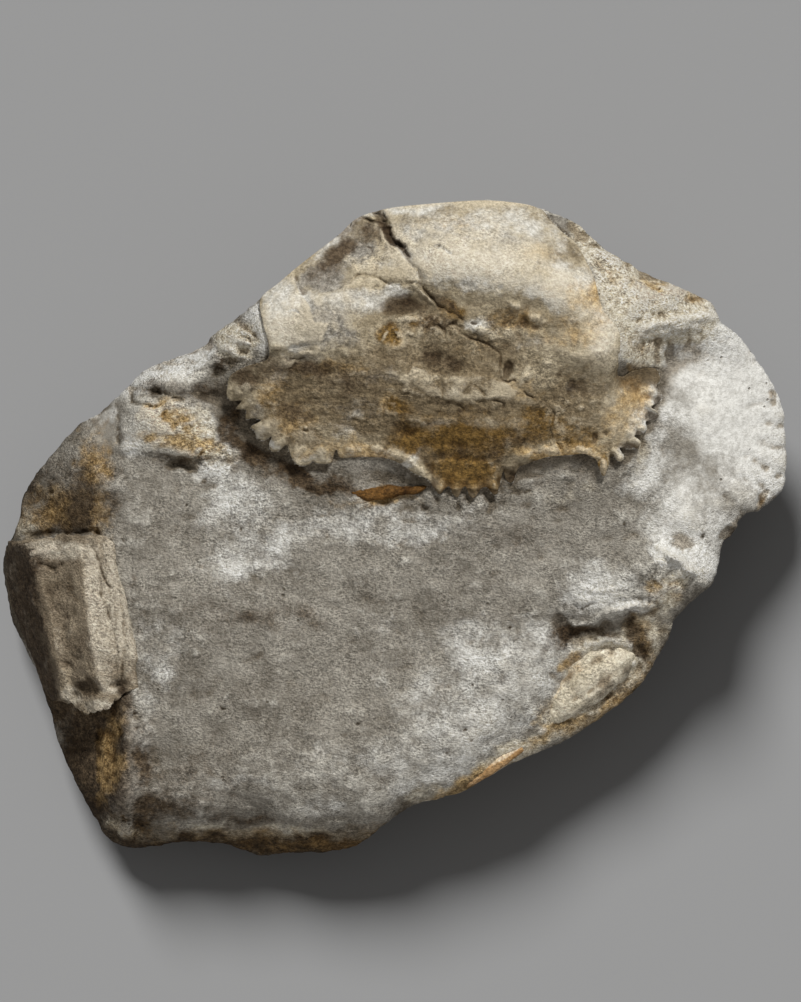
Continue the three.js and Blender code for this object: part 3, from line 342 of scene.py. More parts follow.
# Where the shell is rough, and where it is streaked: (x, y, half length, half width, turn, strength).
ROUGH_SHELL = [
    (16, 32.5, 7, 3, 0, 1), (3, 33, 5, 3, 0, 0.9), (25, 26, 6, 4, -30, 0.7), (28, 20.5, 4, 3, 0, 0.7),
    (9, 27, 6, 4, 0, 0.6), (-8, 31, 6, 4, 0, 0.4), (36, 28, 2.5, 3, 0, 0.5), (7, 40, 10, 1.5, 0, 0.6),
    (30, 15, 6, 3, 0, 0.5), (12, 12, 10, 3, 0, 0.4), (-4, 45.5, 4, 3, 0, 0.5), (8, 49, 14, 4, 0, 0.25),
]
STREAKED_SHELL = [
    (-6, 24, 12, 6, -10, 0.6), (-8, 18, 12, 5, -12, 0.5), (8, 20, 12, 2.5, 0, 0.3),
    (-20, 23, 7, 4, -15, 0.4), (14, 15, 12, 3, 0, 0.1),
]
# The stains, as in ROUGH_SHELL.
SHELL_STAINS = {
    # the front half of the back, where the hind half is cream
    "tan": [
        (8, 20.5, 18, 6, 0, 0.85), (-20.4, 20, 5, 5, -20, 0.5), (-15, 15.4, 5.4, 3, -24, 0.75),
        (-13, 32, 5, 4, 0, 0.2), (-8, 22, 12, 5, -8, 0.7), (-18, 21, 5, 4, -20, 0.4),
        (12, 29, 13, 4.4, 0, 0.7), (29, 20, 8, 5, 0, 0.65), (8, 14, 13, 3.4, 0, 0.8),
        (-6, 18, 7, 2, 0, 0.5), (-11.5, 41.6, 5, 2, 5, 0.4), (31.4, 24, 6, 2.4, 0, 0.5),
        (5, 35, 7, 3, 0, 0.55), (20, 35, 6, 2.6, 0, 0.35), (-2, 28, 8, 3, 0, 0.5),
        (6.5, 49.4, 6, 2, 0, 0.3), (24, 43, 6, 2.4, -10, 0.3), (30, 33, 4, 3, 0, 0.3),
        (-14, 25.6, 9, 3, 0, 0.3),
    ],
    # bare shell on crests and the hind flank; bare shell and painted highlight on raised teeth and socket
    # edges
    "pale": [
        (0.6, 39.2, 2.4, 1.2, -10, 0.7), (9.6, 42, 4, 1.3, 0, 0.5), (14.6, 34, 3.2, 1.6, -20, 0.5),
        (-16, 31.6, 4, 2.2, 10, 0.6), (-9, 18.8, 4, 1.6, 0, 0.3), (42.6, 21.4, 1.6, 3, 0, 0.7),
        (-10, 31.4, 5, 1.6, 0, 0.1), (-8, 16, 4, 1.6, -10, 0.3), (40.4, 17, 2.4, 5, -20, 0.6),
        (2, 46, 4, 5, -30, 0.3), (27.4, 46.4, 5, 3, -20, 0.25), (24, 39, 4, 1.4, 0, 0.5),
        (9, 42.6, 3, 1, 0, 0.5), (13.6, 33.4, 2.4, 1.4, -30, 0.5), (15, 40.4, 12, 1.8, -2, 0.5),
        (-9, 48.8, 8, 0.9, 40, 0.7), (3, 53.2, 7, 1, 5, 0.6), (-5, 44, 4, 2, 0, 0.3),
        (27, 42, 4, 2, -20, 0.4), (20, 31, 6, 2, 0, 0.2), (10, 23.6, 3, 1.4, 0, 0.3),
        (-17.8, 35.7, 4.5, 5.7, 15, 1), (-22.8, 22, 3, 3.6, -20, 0.2), (-22.2, 16.3, 1.6, 1.2, 0, 0.5),
        (-14.2, 11.6, 4.3, 1, 0, 0.5), (-5, 12.9, 5, 1, 0, 0.8), (10, 49.5, 15.8, 4.3, 0, 0.5),
        (20.8, 50.7, 7.5, 5, 0, 0.35), (13, 43.5, 13, 3, -4, 0.7), (-7.5, 37.6, 7.5, 2.6, 0, 0.7),
        (-8.3, 31.5, 5, 2.3, 0, 0.1), (30, 38.2, 5.7, 5.7, 0, 0.5), (25, 30.7, 4.3, 2.7, 0, 0.1),
        (34.4, 32, 2.5, 5, 0, 0.8), (24.2, 12.6, 4.4, 1.1, -8, 0.5), (42.5, 19.8, 1.3, 4.3, -14, 0.8),
        (1.7, 11.4, 3.8, 0.9, 30, 0.75), (2.5, 34.6, 2, 0.8, 0, 0.4), (30.5, 12.6, 3, 0.7, 0, 0.6),
        (-19.6, 14.4, 1.6, 1.2, 0, 0.6), (37.5, 13, 1.6, 1.2, 0, 0.6), (38, 21.5, 4, 3, 0, 0.35),
    ],
    # where the outer layer has gone
    "grey": [
        (-5, 45.4, 4, 2, 0, 0.6), (-8, 31, 4, 2, 0, 0.4), (23, 31.4, 3, 1.6, 0, 0.4),
        (-11.7, 41.6, 5.4, 2.2, 5, 0.9), (-9, 46, 7.4, 2.6, 35, 0.7), (-12, 33.6, 5.4, 4, 0, 0.85),
        (-17.6, 35.6, 4, 5, 15, 0.3), (6, 47, 12, 2, 0, 0.25), (-6.4, 38, 5, 2.4, 0, 0.4),
        (-16, 28, 6, 1.6, 0, 0.4), (-19.6, 24.4, 3, 2, 0, 0.5), (4, 50, 5, 2.4, 0, 0.4),
        (20, 47.4, 7, 1.8, -6, 0.5), (36, 40, 2.4, 4, 20, 0.4), (-1, 25.4, 5, 2, 0, 0.4),
        (8, 17.4, 6, 1.4, 0, 0.5), (-6, 20, 6, 2.4, -10, 0.35), (31, 24, 5, 2, 0, 0.35),
        (-22.6, 19.4, 1.6, 2, 0, 0.5),
    ],
    # thin iron stain on the side lobes, round the sockets and on the front
    "gold": [
        (39, 22.4, 3.4, 3.6, 0, 0.6), (29, 39.6, 6, 2.4, -10, 0.45), (41, 19.6, 1.6, 4, -14, 0.5),
        (30, 34, 4, 4, 0, 0.35), (36.6, 17, 3, 3.4, 0, 0.45), (11.7, 7.6, 6, 2, 0, 0.75),
        (34.5, 10, 1.2, 2.4, 0, 1), (-17.5, 18.4, 4.4, 3.6, -20, 0.4), (-21.4, 23, 3, 2.4, 0, 0.45),
        (-8, 14.4, 6, 2.2, 0, 0.3), (-0.8, 32, 2, 2.4, 0, 0.6), (8, 15.6, 4, 2, 0, 0.35),
        (16, 16, 4, 2, 0, 0.4), (30.4, 13.4, 4, 1.6, 0, 0.7), (-5, 13, 6, 1.4, 0, 0.6),
        (26, 12.3, 7, 1.5, -2, 0.9), (-15, 12.4, 5, 1.6, 0, 0.5), (24, 45.4, 5, 2.2, 0, 0.35),
        (33.6, 36, 2.4, 8, 0, 0.5), (28, 31.4, 5, 2, 0, 0.35), (20, 34, 5, 3, 0, 0.35),
        (-12, 26.4, 8, 1.4, 0, 0.4), (10, 50.6, 10, 1.8, 0, 0.25), (22, 23, 5, 3, 0, 0.3),
        (-1.6, 20.4, 2, 2, 0, 0.4), (5, 33.6, 4, 1.6, 0, 0.3),
    ],
    # strong iron stain, most of all along the front and in the pits
    "ochre": [
        (11.7, 9.5, 6.2, 3.4, 0, 1), (0.4, 20.2, 1.8, 1.7, 0, 0.95), (2, 15.6, 3, 3, 0, 0.6),
        (12, 15, 12, 3.2, 0, 0.85), (23.3, 17.3, 5, 3.6, 0, 0.7), (30, 15.4, 4.4, 2.6, 0, 0.6),
        (-1.2, 32.2, 2, 2.2, 0, 0.85), (4.6, 34.4, 3, 1.4, 0, 0.6), (9.4, 36, 3.4, 2, -20, 0.6),
        (39.2, 22.4, 3, 3.4, 0, 0.2), (38, 18.6, 2.2, 2.4, 0, 0.3), (34.5, 10.2, 1.3, 2.2, 0, 1),
        (36.2, 14.8, 3.3, 3.3, 0, 0.4), (28.4, 33.6, 6.4, 3.6, 0, 0.3), (19, 34.8, 6, 3, 0, 0.45),
        (14.2, 50.7, 10, 2.3, 0, 0.25), (-20.8, 24, 4, 3, -20, 0.35), (-10.8, 26.5, 9, 2, 0, 0.45),
        (-15.8, 17.3, 6.7, 4.3, 0, 0.25), (33.4, 40, 2.4, 7, 0, 0.3), (20, 39, 12, 2, 0, 0.15),
        (-4.2, 45.7, 5, 2.7, 0, 0.25), (9, 19.2, 9, 1.6, 0, 0.35), (13, 30, 5, 3, 0, 0.3),
        (32, 27, 6, 4, 0, 0.35), (-19, 21, 5, 3, 0, 0.2), (24, 45, 5, 2.6, 0, 0.3),
    ],
    # clay left in cracks and hollows
    "brown": [
        (-18.3, 26.6, 8, 1.8, -4, 0.5), (-20.6, 28.6, 3, 1, 0, 0.4), (-24, 24.6, 2.6, 1.4, 30, 0.6),
        (-8.3, 25.2, 6.7, 1.8, -10, 0.45), (-26.5, 25.7, 2.7, 2, 0, 0.6), (0.2, 36.6, 3.2, 1.3, 8, 0.6),
        (3.4, 37.4, 2, 1.3, -20, 0.5), (7.2, 28.4, 2.4, 2.6, 0, 0.5), (9.4, 27, 1.6, 2, 0, 0.4),
        (31.7, 23.8, 5.7, 1.8, 4, 0.35), (19, 27.2, 1.2, 2.2, 0, 0.5), (-9.4, 45.6, 6.4, 2, 35, 0.8),
        (-15, 26.6, 6, 1.4, 0, 0.4), (-3.4, 49, 2.2, 2.2, 0, 0.6), (-1.4, 48.4, 0.9, 3.2, 16, 0.8),
        (1, 46.4, 1.8, 0.8, -45, 0.8), (20.8, 36.2, 6, 1.3, -4, 0.25), (0.8, 16.6, 2, 2.8, 0, 0.5),
        (14, 12.6, 8, 1.6, 0, 0.45), (21, 15.4, 5, 2, 0, 0.45), (11.7, 19.8, 10, 0.8, 0, 0.4),
        (7, 37.8, 3.4, 1.6, -34, 0.5), (9, 36.4, 3, 0.8, -30, 0.4), (-5.8, 21.5, 8, 2.4, -10, 0.4),
        (-11.7, 41.4, 4.6, 2.2, 5, 0.35), (19.5, 8.8, 1.5, 1.3, 0, 0.8), (38.8, 13.7, 1.7, 1, -20, 0.4),
        (14, 31.5, 5, 1, -20, 0.4), (-15.5, 17, 6, 2.4, -20, 0.3), (6, 33.8, 3, 2, 0, 0.75),
        (12.5, 23.6, 6, 2, 0, 0.2), (-24, 28, 3, 2, 30, 0.5), (18, 11, 3, 1.4, 0, 0.4),
        (-18, 19.6, 5, 1.6, -20, 0.5), (4.6, 28.6, 2.4, 2, 0, 0.4), (16.4, 14.4, 5, 1.6, 0, 0.4),
    ],
}
# How uneven the shell is, in mm.
LINE_STRAY = 0.26
SHELL_SWELL = 0.22
SHELL_GRAIN = 0.08
ROUGH_GRAIN = 0.3
SHELL_STREAK = 0.05
STREAKED_STREAK = 0.22
STAIN_STRAY = 0.9


def sheet_through(spots, x, y):
    """Heights at x and y of the smooth sheet through the spot heights."""
    sx, sy, sz = np.array(spots, float).T
    count = len(spots)
    pull = np.ones((count + 1, count + 1))
    pull[:count, :count] = np.sqrt((sx[:, None] - sx) ** 2 + (sy[:, None] - sy) ** 2 + SPOT_SOFTNESS**2)
    pull[count, count] = 0
    weights = np.linalg.solve(pull, np.append(sz, 0))
    height = np.full(x.shape, weights[count])
    for u, v, weight in zip(sx, sy, weights):
        height += weight * np.sqrt((x - u) ** 2 + (y - v) ** 2 + SPOT_SOFTNESS**2)
    return height


def nearest_on(line, x, y):
    """How far x, y is from a line of (x, y, size), how far left of it, and the size nearest to it."""
    distance = np.full(x.shape, np.inf)
    left = np.zeros(x.shape)
    size = np.zeros(x.shape)
    for (ax, ay, a_size), (bx, by, b_size) in zip(line, line[1:]):
        run = math.hypot(bx - ax, by - ay)
        t = np.clip(((x - ax) * (bx - ax) + (y - ay) * (by - ay)) / run**2, 0, 1)
        here = np.hypot(x - ax - t * (bx - ax), y - ay - t * (by - ay))
        closer = here < distance
        distance = np.where(closer, here, distance)
        left = np.where(closer, ((bx - ax) * (y - ay) - (by - ay) * (x - ax)) / run, left)
        size = np.where(closer, a_size + t * (b_size - a_size), size)
    return distance, left, size


def closed(outline):
    """An outline as a line that ends where it starts, for nearest_on."""
    return [(px, py, 0) for px, py in outline + outline[:1]]


def near_line(line, reach, x, y):
    """Which places lie near enough to a line to feel it."""
    xs = [p[0] for p in line]
    ys = [p[1] for p in line]
    return (x > min(xs) - reach) & (x < max(xs) + reach) & (y > min(ys) - reach) & (y < max(ys) + reach)


def holds(outline, x, y):
    """Which places lie inside an outline."""
    inside = np.zeros(x.shape, bool)
    for (ax, ay), (bx, by) in zip(outline, outline[1:] + outline[:1]):
        if ay != by:
            inside ^= ((ay > y) != (by > y)) & (x < (bx - ax) * (y - ay) / (by - ay) + ax)
    return inside


LINE_STRENGTH = 0.9
FAINTEST = 0.15
STRONGEST = 1.6


def add_ridges(height, x, y, ridges, broken):
    """Raises the height along each ridge, by more in some places than in others where it is broken."""
    for width, line in ridges:
        at = near_line(line, 3 * width, x, y)
        distance, _, size = nearest_on(line, x[at], y[at])
        strength = np.clip(LINE_STRENGTH + broken[at], FAINTEST, STRONGEST)
        height[at] += size * strength * np.exp(-((distance / width) ** 2))


def add_ledges(height, x, y, ledges):
    """Raises the ground right of each line by half the drop and lowers it by as much left of it."""
    for width, reach, line in ledges:
        at = near_line(line, 3 * reach, x, y)
        distance, left, size = nearest_on(line, x[at], y[at])
        height[at] -= 0.5 * size * np.tanh(left / width) * np.exp(-((distance / reach) ** 2))


def add_plates(height, x, y, plates):
    """Raises the height by a step inside each outline."""
    for step, softness, outline in plates:
        at = near_line(outline, 3 * softness, x, y)
        distance, _, _ = nearest_on(closed(outline), x[at], y[at])
        inside = holds(outline, x[at], y[at])
        height[at] += 0.5 * step * (1 + np.tanh(np.where(inside, distance, -distance) / softness))


def spread(x, y, px, py, length, width, turn):
    """From 1 in the middle of a turned patch down to 0 outside it."""
    c, s = math.cos(math.radians(turn)), math.sin(math.radians(turn))
    u = ((x - px) * c + (y - py) * s) / length
    v = ((y - py) * c - (x - px) * s) / width
    return np.exp(-((u * u + v * v) ** 1.5))


def add_pits(height, x, y, pits):
    """Sinks each pit into the height, or raises it as a knob."""
    for px, py, length, width, turn, depth in pits:
        at = near_line([(px, py)], 2 * length + 2 * width, x, y)
        height[at] += depth * spread(x[at], y[at], px, py, length, width, turn)


def patches(places, x, y):
    """From 0 to 1, how much of a stain or a roughness lies at x, y."""
    clear = np.ones(x.shape)
    for px, py, length, width, turn, strength in places:
        clear *= 1 - strength * spread(x, y, px, py, length, width, turn)
    return 1 - clear


def noise_at(points, octaves, fall=0.7):
    """Fractal noise from about -1 to 1 at rows of x, y, z. With a high fall, fine lumps count for less."""
    return np.array([noise.fractal(point, fall, 2.1, octaves) for point in points.tolist()])


def rough(x, y, size, octaves, seed, stretch=1, turn=0):
    """Noise in lumps of this size in mm, drawn out by stretch along a line turned by so many degrees."""
    c, s = math.cos(math.radians(turn)), math.sin(math.radians(turn))
    u = ((x * c + y * s) / size / stretch).ravel()
    v = ((y * c - x * s) / size).ravel()
    return noise_at(np.stack([u, v, np.full(u.shape, seed)], 1), octaves, 0.72).reshape(x.shape)


def strayed(x, y, reach, size, octaves, seeds):
    """The places x, y, each moved by up to about a reach, so that lines drawn by them come out broken."""
    move_x, move_y = [reach * rough(x, y, size, octaves, seed) for seed in seeds]
    return x + move_x, y + move_y


def blur(height, cells):
    """The height averaged over a round neighbourhood of about this many cells."""
    rows, columns = height.shape
    fy = np.fft.fftfreq(rows)[:, None]
    fx = np.fft.rfftfreq(columns)[None, :]
    weight = np.exp(-2 * (math.pi * cells) ** 2 * (fx * fx + fy * fy))
    return np.fft.irfft2(np.fft.rfft2(height) * weight, s=height.shape)


NEAR_REACH = 1.2
NEAR_RELIEF = 0.3
FAR_REACH = 4
FAR_RELIEF = 1.2


def highs_and_lows(height, cell):
    """How hollow and how crested each place is, from 0 to about 1, read over a near and a far reach."""
    near = (blur(height, NEAR_REACH / cell) - height) / NEAR_RELIEF
    far = (blur(height, FAR_REACH / cell) - height) / FAR_RELIEF
    both = 0.6 * near + 0.5 * far
    return np.clip(both, 0, 1.2), np.clip(-both, 0, 1.2)


def round_outline(points, step):
    """A smooth closed curve through the points, as x, y rows about a step apart."""
    p = np.array(points, float)
    before, after, last = np.roll(p, 1, 0), np.roll(p, -1, 0), np.roll(p, -2, 0)
    rows = []
    for a, b, c, d in zip(before, p, after, last):
        pieces = max(1, round(float(np.hypot(*(c - b))) / step))
        for t in np.arange(pieces) / pieces:
            rows.append(0.5 * (2 * b + (c - a) * t + (2 * a - 5 * b + 4 * c - d) * t * t
                               + (3 * b - a - 3 * c + d) * t**3))
    return np.array(rows)


def is_inside(outline, x, y):
    """Which places of a grid lie inside an outline. Faster than holds, because a grid's rows are level."""
    inside = np.zeros(x.shape, bool)
    ax, ay = outline.T
    bx, by = np.roll(outline, -1, 0).T
    for row in range(x.shape[0]):
        level = y[row, 0]
        crosses = (ay > level) != (by > level)
        at = ax[crosses] + (level - ay[crosses]) / (by[crosses] - ay[crosses]) * (bx[crosses] - ax[crosses])
        inside[row] = (at[:, None] > x[row][None, :]).sum(0) % 2 == 1
    return inside


def cut_grid(outline, cell):
    """A square grid cut to an outline: its x and y, and the kept cells as four vertex numbers each."""
    low, high = outline.min(0) - 3 * cell, outline.max(0) + 3 * cell
    x, y = np.meshgrid(np.arange(low[0], high[0], cell), np.arange(low[1], high[1], cell))
    kept = is_inside(outline, x[:-1, :-1] + cell / 2, y[:-1, :-1] + cell / 2)
    for _ in range(4):  # no lone cells, and none that touch by a corner only
        padded = np.pad(kept, 1)
        neighbours = padded[:-2, 1:-1].astype(int) + padded[2:, 1:-1] + padded[1:-1, :-2] + padded[1:-1, 2:]
        kept &= neighbours >= 2
        a, b, c, d = kept[:-1, :-1], kept[:-1, 1:], kept[1:, :-1], kept[1:, 1:]
        kept[:-1, :-1] |= b & c & ~a & ~d
        kept[:-1, 1:] |= a & d & ~b & ~c
    columns = x.shape[1]
    rows_at, columns_at = np.nonzero(kept)
    corner = rows_at * columns + columns_at
    cells = np.stack([corner, corner + 1, corner + columns + 1, corner + columns], 1)
    return x, y, cells


def loop_of(cells):
    """The outer edge of the kept cells, as vertex numbers in order, anticlockwise from above."""
    pairs = np.concatenate([cells[:, [0, 1]], cells[:, [1, 2]], cells[:, [2, 3]], cells[:, [3, 0]]])
    known = set(map(tuple, pairs.tolist()))
    onward = {a: b for a, b in known if (b, a) not in known}
    loops = []
    while onward:
        start = next(iter(onward))
        loop = [start]
        step = onward.pop(start)
        while step != start:
            loop.append(step)
            step = onward.pop(step)
        loops.append(loop)
    return max(loops, key=len)


def pull_to(outline, x, y, loop):
    """Moves the grid's edge on to the outline."""
    flat_x, flat_y = x.ravel(), y.ravel()
    a = outline
    b = np.roll(outline, -1, 0)
    run = ((b - a) ** 2).sum(1)
    for vertex in loop:
        p = np.array([flat_x[vertex], flat_y[vertex]])
        t = np.clip(((p - a) * (b - a)).sum(1) / run, 0, 1)
        on_line = a + t[:, None] * (b - a)
        best = ((on_line - p) ** 2).sum(1).argmin()
        flat_x[vertex], flat_y[vertex] = on_line[best]


MERGE = 4


def coarsened(cells, columns, hidden):
    """The cells as faces, with every square of four by four that is hidden made into one face."""
    rows_at, columns_at = cells[:, 0] // columns, cells[:, 0] % columns
    block = rows_at // MERGE * columns + columns_at // MERGE
    numbers, counts = np.unique(block[hidden], return_counts=True)
    whole = set(numbers[counts == MERGE**2].tolist())
    faces = list(cells[~np.isin(block, list(whole))])
    far = MERGE * columns
    sides = ((-columns, 0, 1), (1, MERGE, columns), (columns, far + MERGE, -1), (-1, far, -columns))
    for number in whole:
        start = number // columns * far + number % columns * MERGE
        face = []
        for neighbour, corner, step in sides:
            steps = 1 if number + neighbour in whole else MERGE
            face += [start + corner + step * k for k in range(steps)]
        faces.append(np.array(face))
    return faces


def ring_faces(upper, lower):
    """A closed band of faces between two rings of vertex numbers."""
    return list(np.stack([upper, lower, np.roll(lower, -1), np.roll(upper, -1)], 1))


def rows_of(x, y, z):
    return np.stack([x.ravel(), y.ravel(), z.ravel()], 1)


def make_piece(name, vertices, faces, layers, material):
    """A smooth-shaded piece from vertices in mm, with named layers of numbers that its material reads."""
    mesh = bpy.data.meshes.new(name)
    used = np.unique(np.concatenate([np.array(f) for f in faces]))
    number = np.full(len(vertices), -1)
    number[used] = np.arange(len(used))
    mesh.from_pydata((vertices[used] * MM).tolist(), [], [number[f].tolist() for f in faces])
    for layer, values in layers.items():
        attribute = mesh.attributes.new(layer, "FLOAT", "POINT")
        attribute.data.foreach_set("value", values[used].astype(np.float32))
    mesh.polygons.foreach_set("use_smooth", [True] * len(mesh.polygons))
    mesh.update()
    mesh.materials.append(material)
    piece = bpy.data.objects.new(name, mesh)
    bpy.context.scene.collection.objects.link(piece)
    return piece


def put(tree, kind, inputs=None, **settings):
    """A shader node: its settings, and its sockets' values or links."""
    made = tree.nodes.new("ShaderNode" + kind)
    for key, value in settings.items():
        setattr(made, key, value)
    for key, value in (inputs or {}).items():
        if isinstance(value, bpy.types.NodeSocket):
            tree.links.new(value, made.inputs[key])
        else:
            made.inputs[key].default_value = value
    return made


def calc(tree, operation, a, b):
    return put(tree, "Math", {0: a, 1: b}, operation=operation).outputs[0]


def plus(tree, a, b):
    return calc(tree, "ADD", a, b)


def times(tree, a, b):
    return calc(tree, "MULTIPLY", a, b)


def shares(tree, a, a_share, b, b_share):
    return plus(tree, times(tree, a, a_share), times(tree, b, b_share))


def shaken(tree, value, texture, amount):
    """A value that a texture pushes up and down, so that its edge comes out ragged."""
    return plus(tree, value, times(tree, calc(tree, "SUBTRACT", texture, 0.5), amount))


def between(tree, value, low, high):
    """0 at low, 1 at high and past it, and a soft step between them."""
    return put(tree, "MapRange", {"Value": value, "From Min": low, "From Max": high},
               interpolation_type="SMOOTHSTEP").outputs[0]


def blend_colour(tree, amount, under, over, mode="MIX"):
    return put(tree, "Mix", {0: amount, 6: under, 7: over}, data_type="RGBA", blend_type=mode).outputs[2]


def mapped(tree, place, kind="POINT", **moves):
    """A place shifted, turned or stretched before a texture reads it."""
    inputs = {"Vector": place}
    for key, value in moves.items():
        inputs[key.capitalize()] = value
    return put(tree, "Mapping", inputs, vector_type=kind).outputs[0]


def grain(tree, place, size, detail, roughness=0.6):
    """Noise from 0 to 1 with lumps of this size in mm."""
    inputs = {"Vector": place, "Scale": 1 / (size * MM), "Detail": detail, "Roughness": roughness}
    return put(tree, "TexNoise", inputs).outputs[0]


def layer_of(tree, layer):
    """What make_piece wrote at the vertices under this name."""
    return put(tree, "Attribute", attribute_name=layer).outputs["Fac"]


def paint(red, green, blue):
    """A colour given in screen values from 0 to 255."""
    return tuple(((v / 255 + 0.055) / 1.055) ** 2.4 for v in (red, green, blue)) + (1,)


# Lumps of the stone's own textures, and the spacing of its small dark pits, in mm.
FINE_LUMPS = 0.9
WIDE_LUMPS = 7
GRIT_LUMPS = 0.34
CLUMP_LUMPS = 3.2
PIT_SPACING = 2.6
STONE_SHINE = 0.12


def stained(tree, place, fine, colour, stains):
    """Lays each stain over the colour in turn, ragged at its edge and mottled between its two tones."""
    for number, (layer, dark, light, edge_lumps) in enumerate(stains):
        shifted = mapped(tree, place, location=(0.3 * number, 0.1, 0))
        ragged = grain(tree, shifted, edge_lumps, 8, 0.72)
        torn = shaken(tree, layer_of(tree, layer), ragged, 1.4)
        tone = blend_colour(tree, between(tree, fine, 0.35, 0.65), dark, light)
        colour = blend_colour(tree, times(tree, between(tree, torn, 0.2, 0.8), 0.95), colour, tone)
    return colour


def pit_dots(tree, place, pits):
    """1 in the small dark pits, which a part of the cells of a loose pattern have in their middle."""
    cells = put(tree, "TexVoronoi", {"Vector": place, "Scale": 1 / (PIT_SPACING * MM), "Randomness": 1.0})
    chance = put(tree, "SeparateColor", {0: cells.outputs["Color"]}).outputs[0]
    chosen = times(tree, calc(tree, "GREATER_THAN", chance, 0.72), pits)
    return times(tree, between(tree, cells.outputs["Distance"], 0.12, 0.05), chosen)


def weathered(name, dark, light, stains, dirt_and_shade, worn, bump, roughness, pits):
    """Fossil or chalk: mottled tones, stains, painted shade in hollows, wear and painted highlight on
    crests, grit, pits.
    """
    material = bpy.data.materials.new(name)
    material.use_nodes = True
    tree = material.node_tree
    shader = tree.nodes["Principled BSDF"]
    place = put(tree, "TexCoord").outputs["Object"]
    gritty = layer_of(tree, "gritty")
    fine = grain(tree, place, FINE_LUMPS, 8, 0.8)
    wide = grain(tree, place, WIDE_LUMPS, 6)
    drawn_out = mapped(tree, place, "TEXTURE", rotation=(0, 0, -0.14), scale=(1.35, 1, 1))
    grit = grain(tree, drawn_out, GRIT_LUMPS, 2, 0.8)
    clumps = grain(tree, mapped(tree, place, location=(0.7, 0.4, 0.1)), CLUMP_LUMPS, 5, 0.7)
    dots = pit_dots(tree, place, pits)

    mottle = between(tree, shares(tree, fine, 0.45, wide, 0.55), 0.36, 0.64)
    colour = blend_colour(tree, mottle, dark, light)
    colour = stained(tree, place, fine, colour, stains)
    # Painted shade: the colour is darkened in the hollows, where shade falls.
    painted_shade_in_hollows = between(tree, shaken(tree, layer_of(tree, "hollow"), fine, 0.6), 0.1, 0.9)
    colour = blend_colour(tree, times(tree, painted_shade_in_hollows, 0.7), colour, dirt_and_shade, "MULTIPLY")
    # The crests are lightened, partly as wear and partly as a painted highlight.
    wear_and_highlight_on_crests = between(tree, shaken(tree, layer_of(tree, "crest"), fine, 0.7), 0.15, 1.0)
    colour = blend_colour(tree, times(tree, wear_and_highlight_on_crests, 0.6), colour, worn)
    specks = between(tree, shares(tree, grit, 0.85, fine, 0.15), 0.34, 0.66)
    clumped = plus(tree, times(tree, between(tree, clumps, 0.36, 0.64), 0.4), 0.26)
    speckled = plus(tree, times(tree, gritty, clumped), 0.05)
    colour = blend_colour(tree, speckled, colour, specks, "OVERLAY")
    colour = blend_colour(tree, times(tree, dots, 0.6), colour, dirt_and_shade, "MULTIPLY")
    tree.links.new(colour, shader.inputs["Base Color"])

    dull = {"Value": fine, "To Min": roughness - 0.08, "To Max": roughness + 0.05}
    tree.links.new(put(tree, "MapRange", dull).outputs[0], shader.inputs["Roughness"])
    shader.inputs["Specular IOR Level"].default_value = STONE_SHINE
    height = shares(tree, fine, 0.4, grit, 1.2)
    height = times(tree, height, plus(tree, times(tree, gritty, 0.9), 0.1))
    height = calc(tree, "SUBTRACT", height, times(tree, dots, 0.6))
    push = put(tree, "Bump", {"Height": height, "Strength": 1.0, "Distance": bump * MM})
    tree.links.new(push.outputs[0], shader.inputs["Normal"])
    return material


def shell_height(x, y):
    """The smooth back, which the shell's underside and the chalk below it follow too."""
    height = sheet_through(SHELL_SPOTS, x, y)
    add_ridges(height, x, y, SHELL_RIDGES, np.zeros(x.shape))
    add_ledges(height, x, y, SHELL_LEDGES)
    return height


shell_line = round_outline(SHELL_EDGE[::-1], EDGE_STEP)
shell_x, shell_y, shell_cells = cut_grid(shell_line, SHELL_CELL)
shell_loop = np.array(loop_of(shell_cells))
pull_to(shell_line, shell_x, shell_y, shell_loop)
shell_z = shell_height(shell_x, shell_y)
shell_under = shell_z - SHELL_THICKNESS
crack_x, crack_y = strayed(shell_x, shell_y, LINE_STRAY, size=1.8, octaves=5, seeds=(23.5, 37.5))
broken = rough(shell_x, shell_y, size=1.4, octaves=3, seed=47.5)
add_plates(shell_z, crack_x, crack_y, SHELL_PLATES)
add_ridges(shell_z, crack_x, crack_y, SHELL_CRACKS, 0.8 * broken)
add_ridges(shell_z, crack_x, crack_y, SHELL_FOLDS, 0.6 * broken)
add_pits(shell_z, crack_x, crack_y, SHELL_PITS)
rough_here = patches(ROUGH_SHELL, shell_x, shell_y)
streaked_here = patches(STREAKED_SHELL, shell_x, shell_y)
shell_z += SHELL_SWELL * rough(shell_x, shell_y, size=5, octaves=6, seed=3.5)
shell_grain = rough(shell_x, shell_y, size=1.7, octaves=6, seed=5.5)
shell_z += (SHELL_GRAIN + ROUGH_GRAIN * rough_here) * shell_grain
streaks = rough(shell_x, shell_y, size=0.9, octaves=5, seed=9.5, stretch=3.5, turn=-10)
shell_z += (SHELL_STREAK + STREAKED_STREAK * streaked_here) * streaks
# How hollow and how crested the shell is: the hollows take painted shade, the crests wear and a painted
# highlight.
shell_shade_mask, shell_wear_and_highlight = highs_and_lows(shell_z, SHELL_CELL)

shell_layers = {
    "hollow": shell_shade_mask,
    "crest": shell_wear_and_highlight,
    "gritty": np.clip(0.4 + 0.5 * rough_here + 0.4 * streaked_here, 0, 1),
}
stain_x, stain_y = strayed(shell_x, shell_y, STAIN_STRAY, size=4, octaves=4, seeds=(63.5, 73.5))
for layer, places in SHELL_STAINS.items():
    shell_layers[layer] = patches(places, stain_x, stain_y)
for layer, values in shell_layers.items():
    shell_layers[layer] = np.tile(values.ravel(), 2)

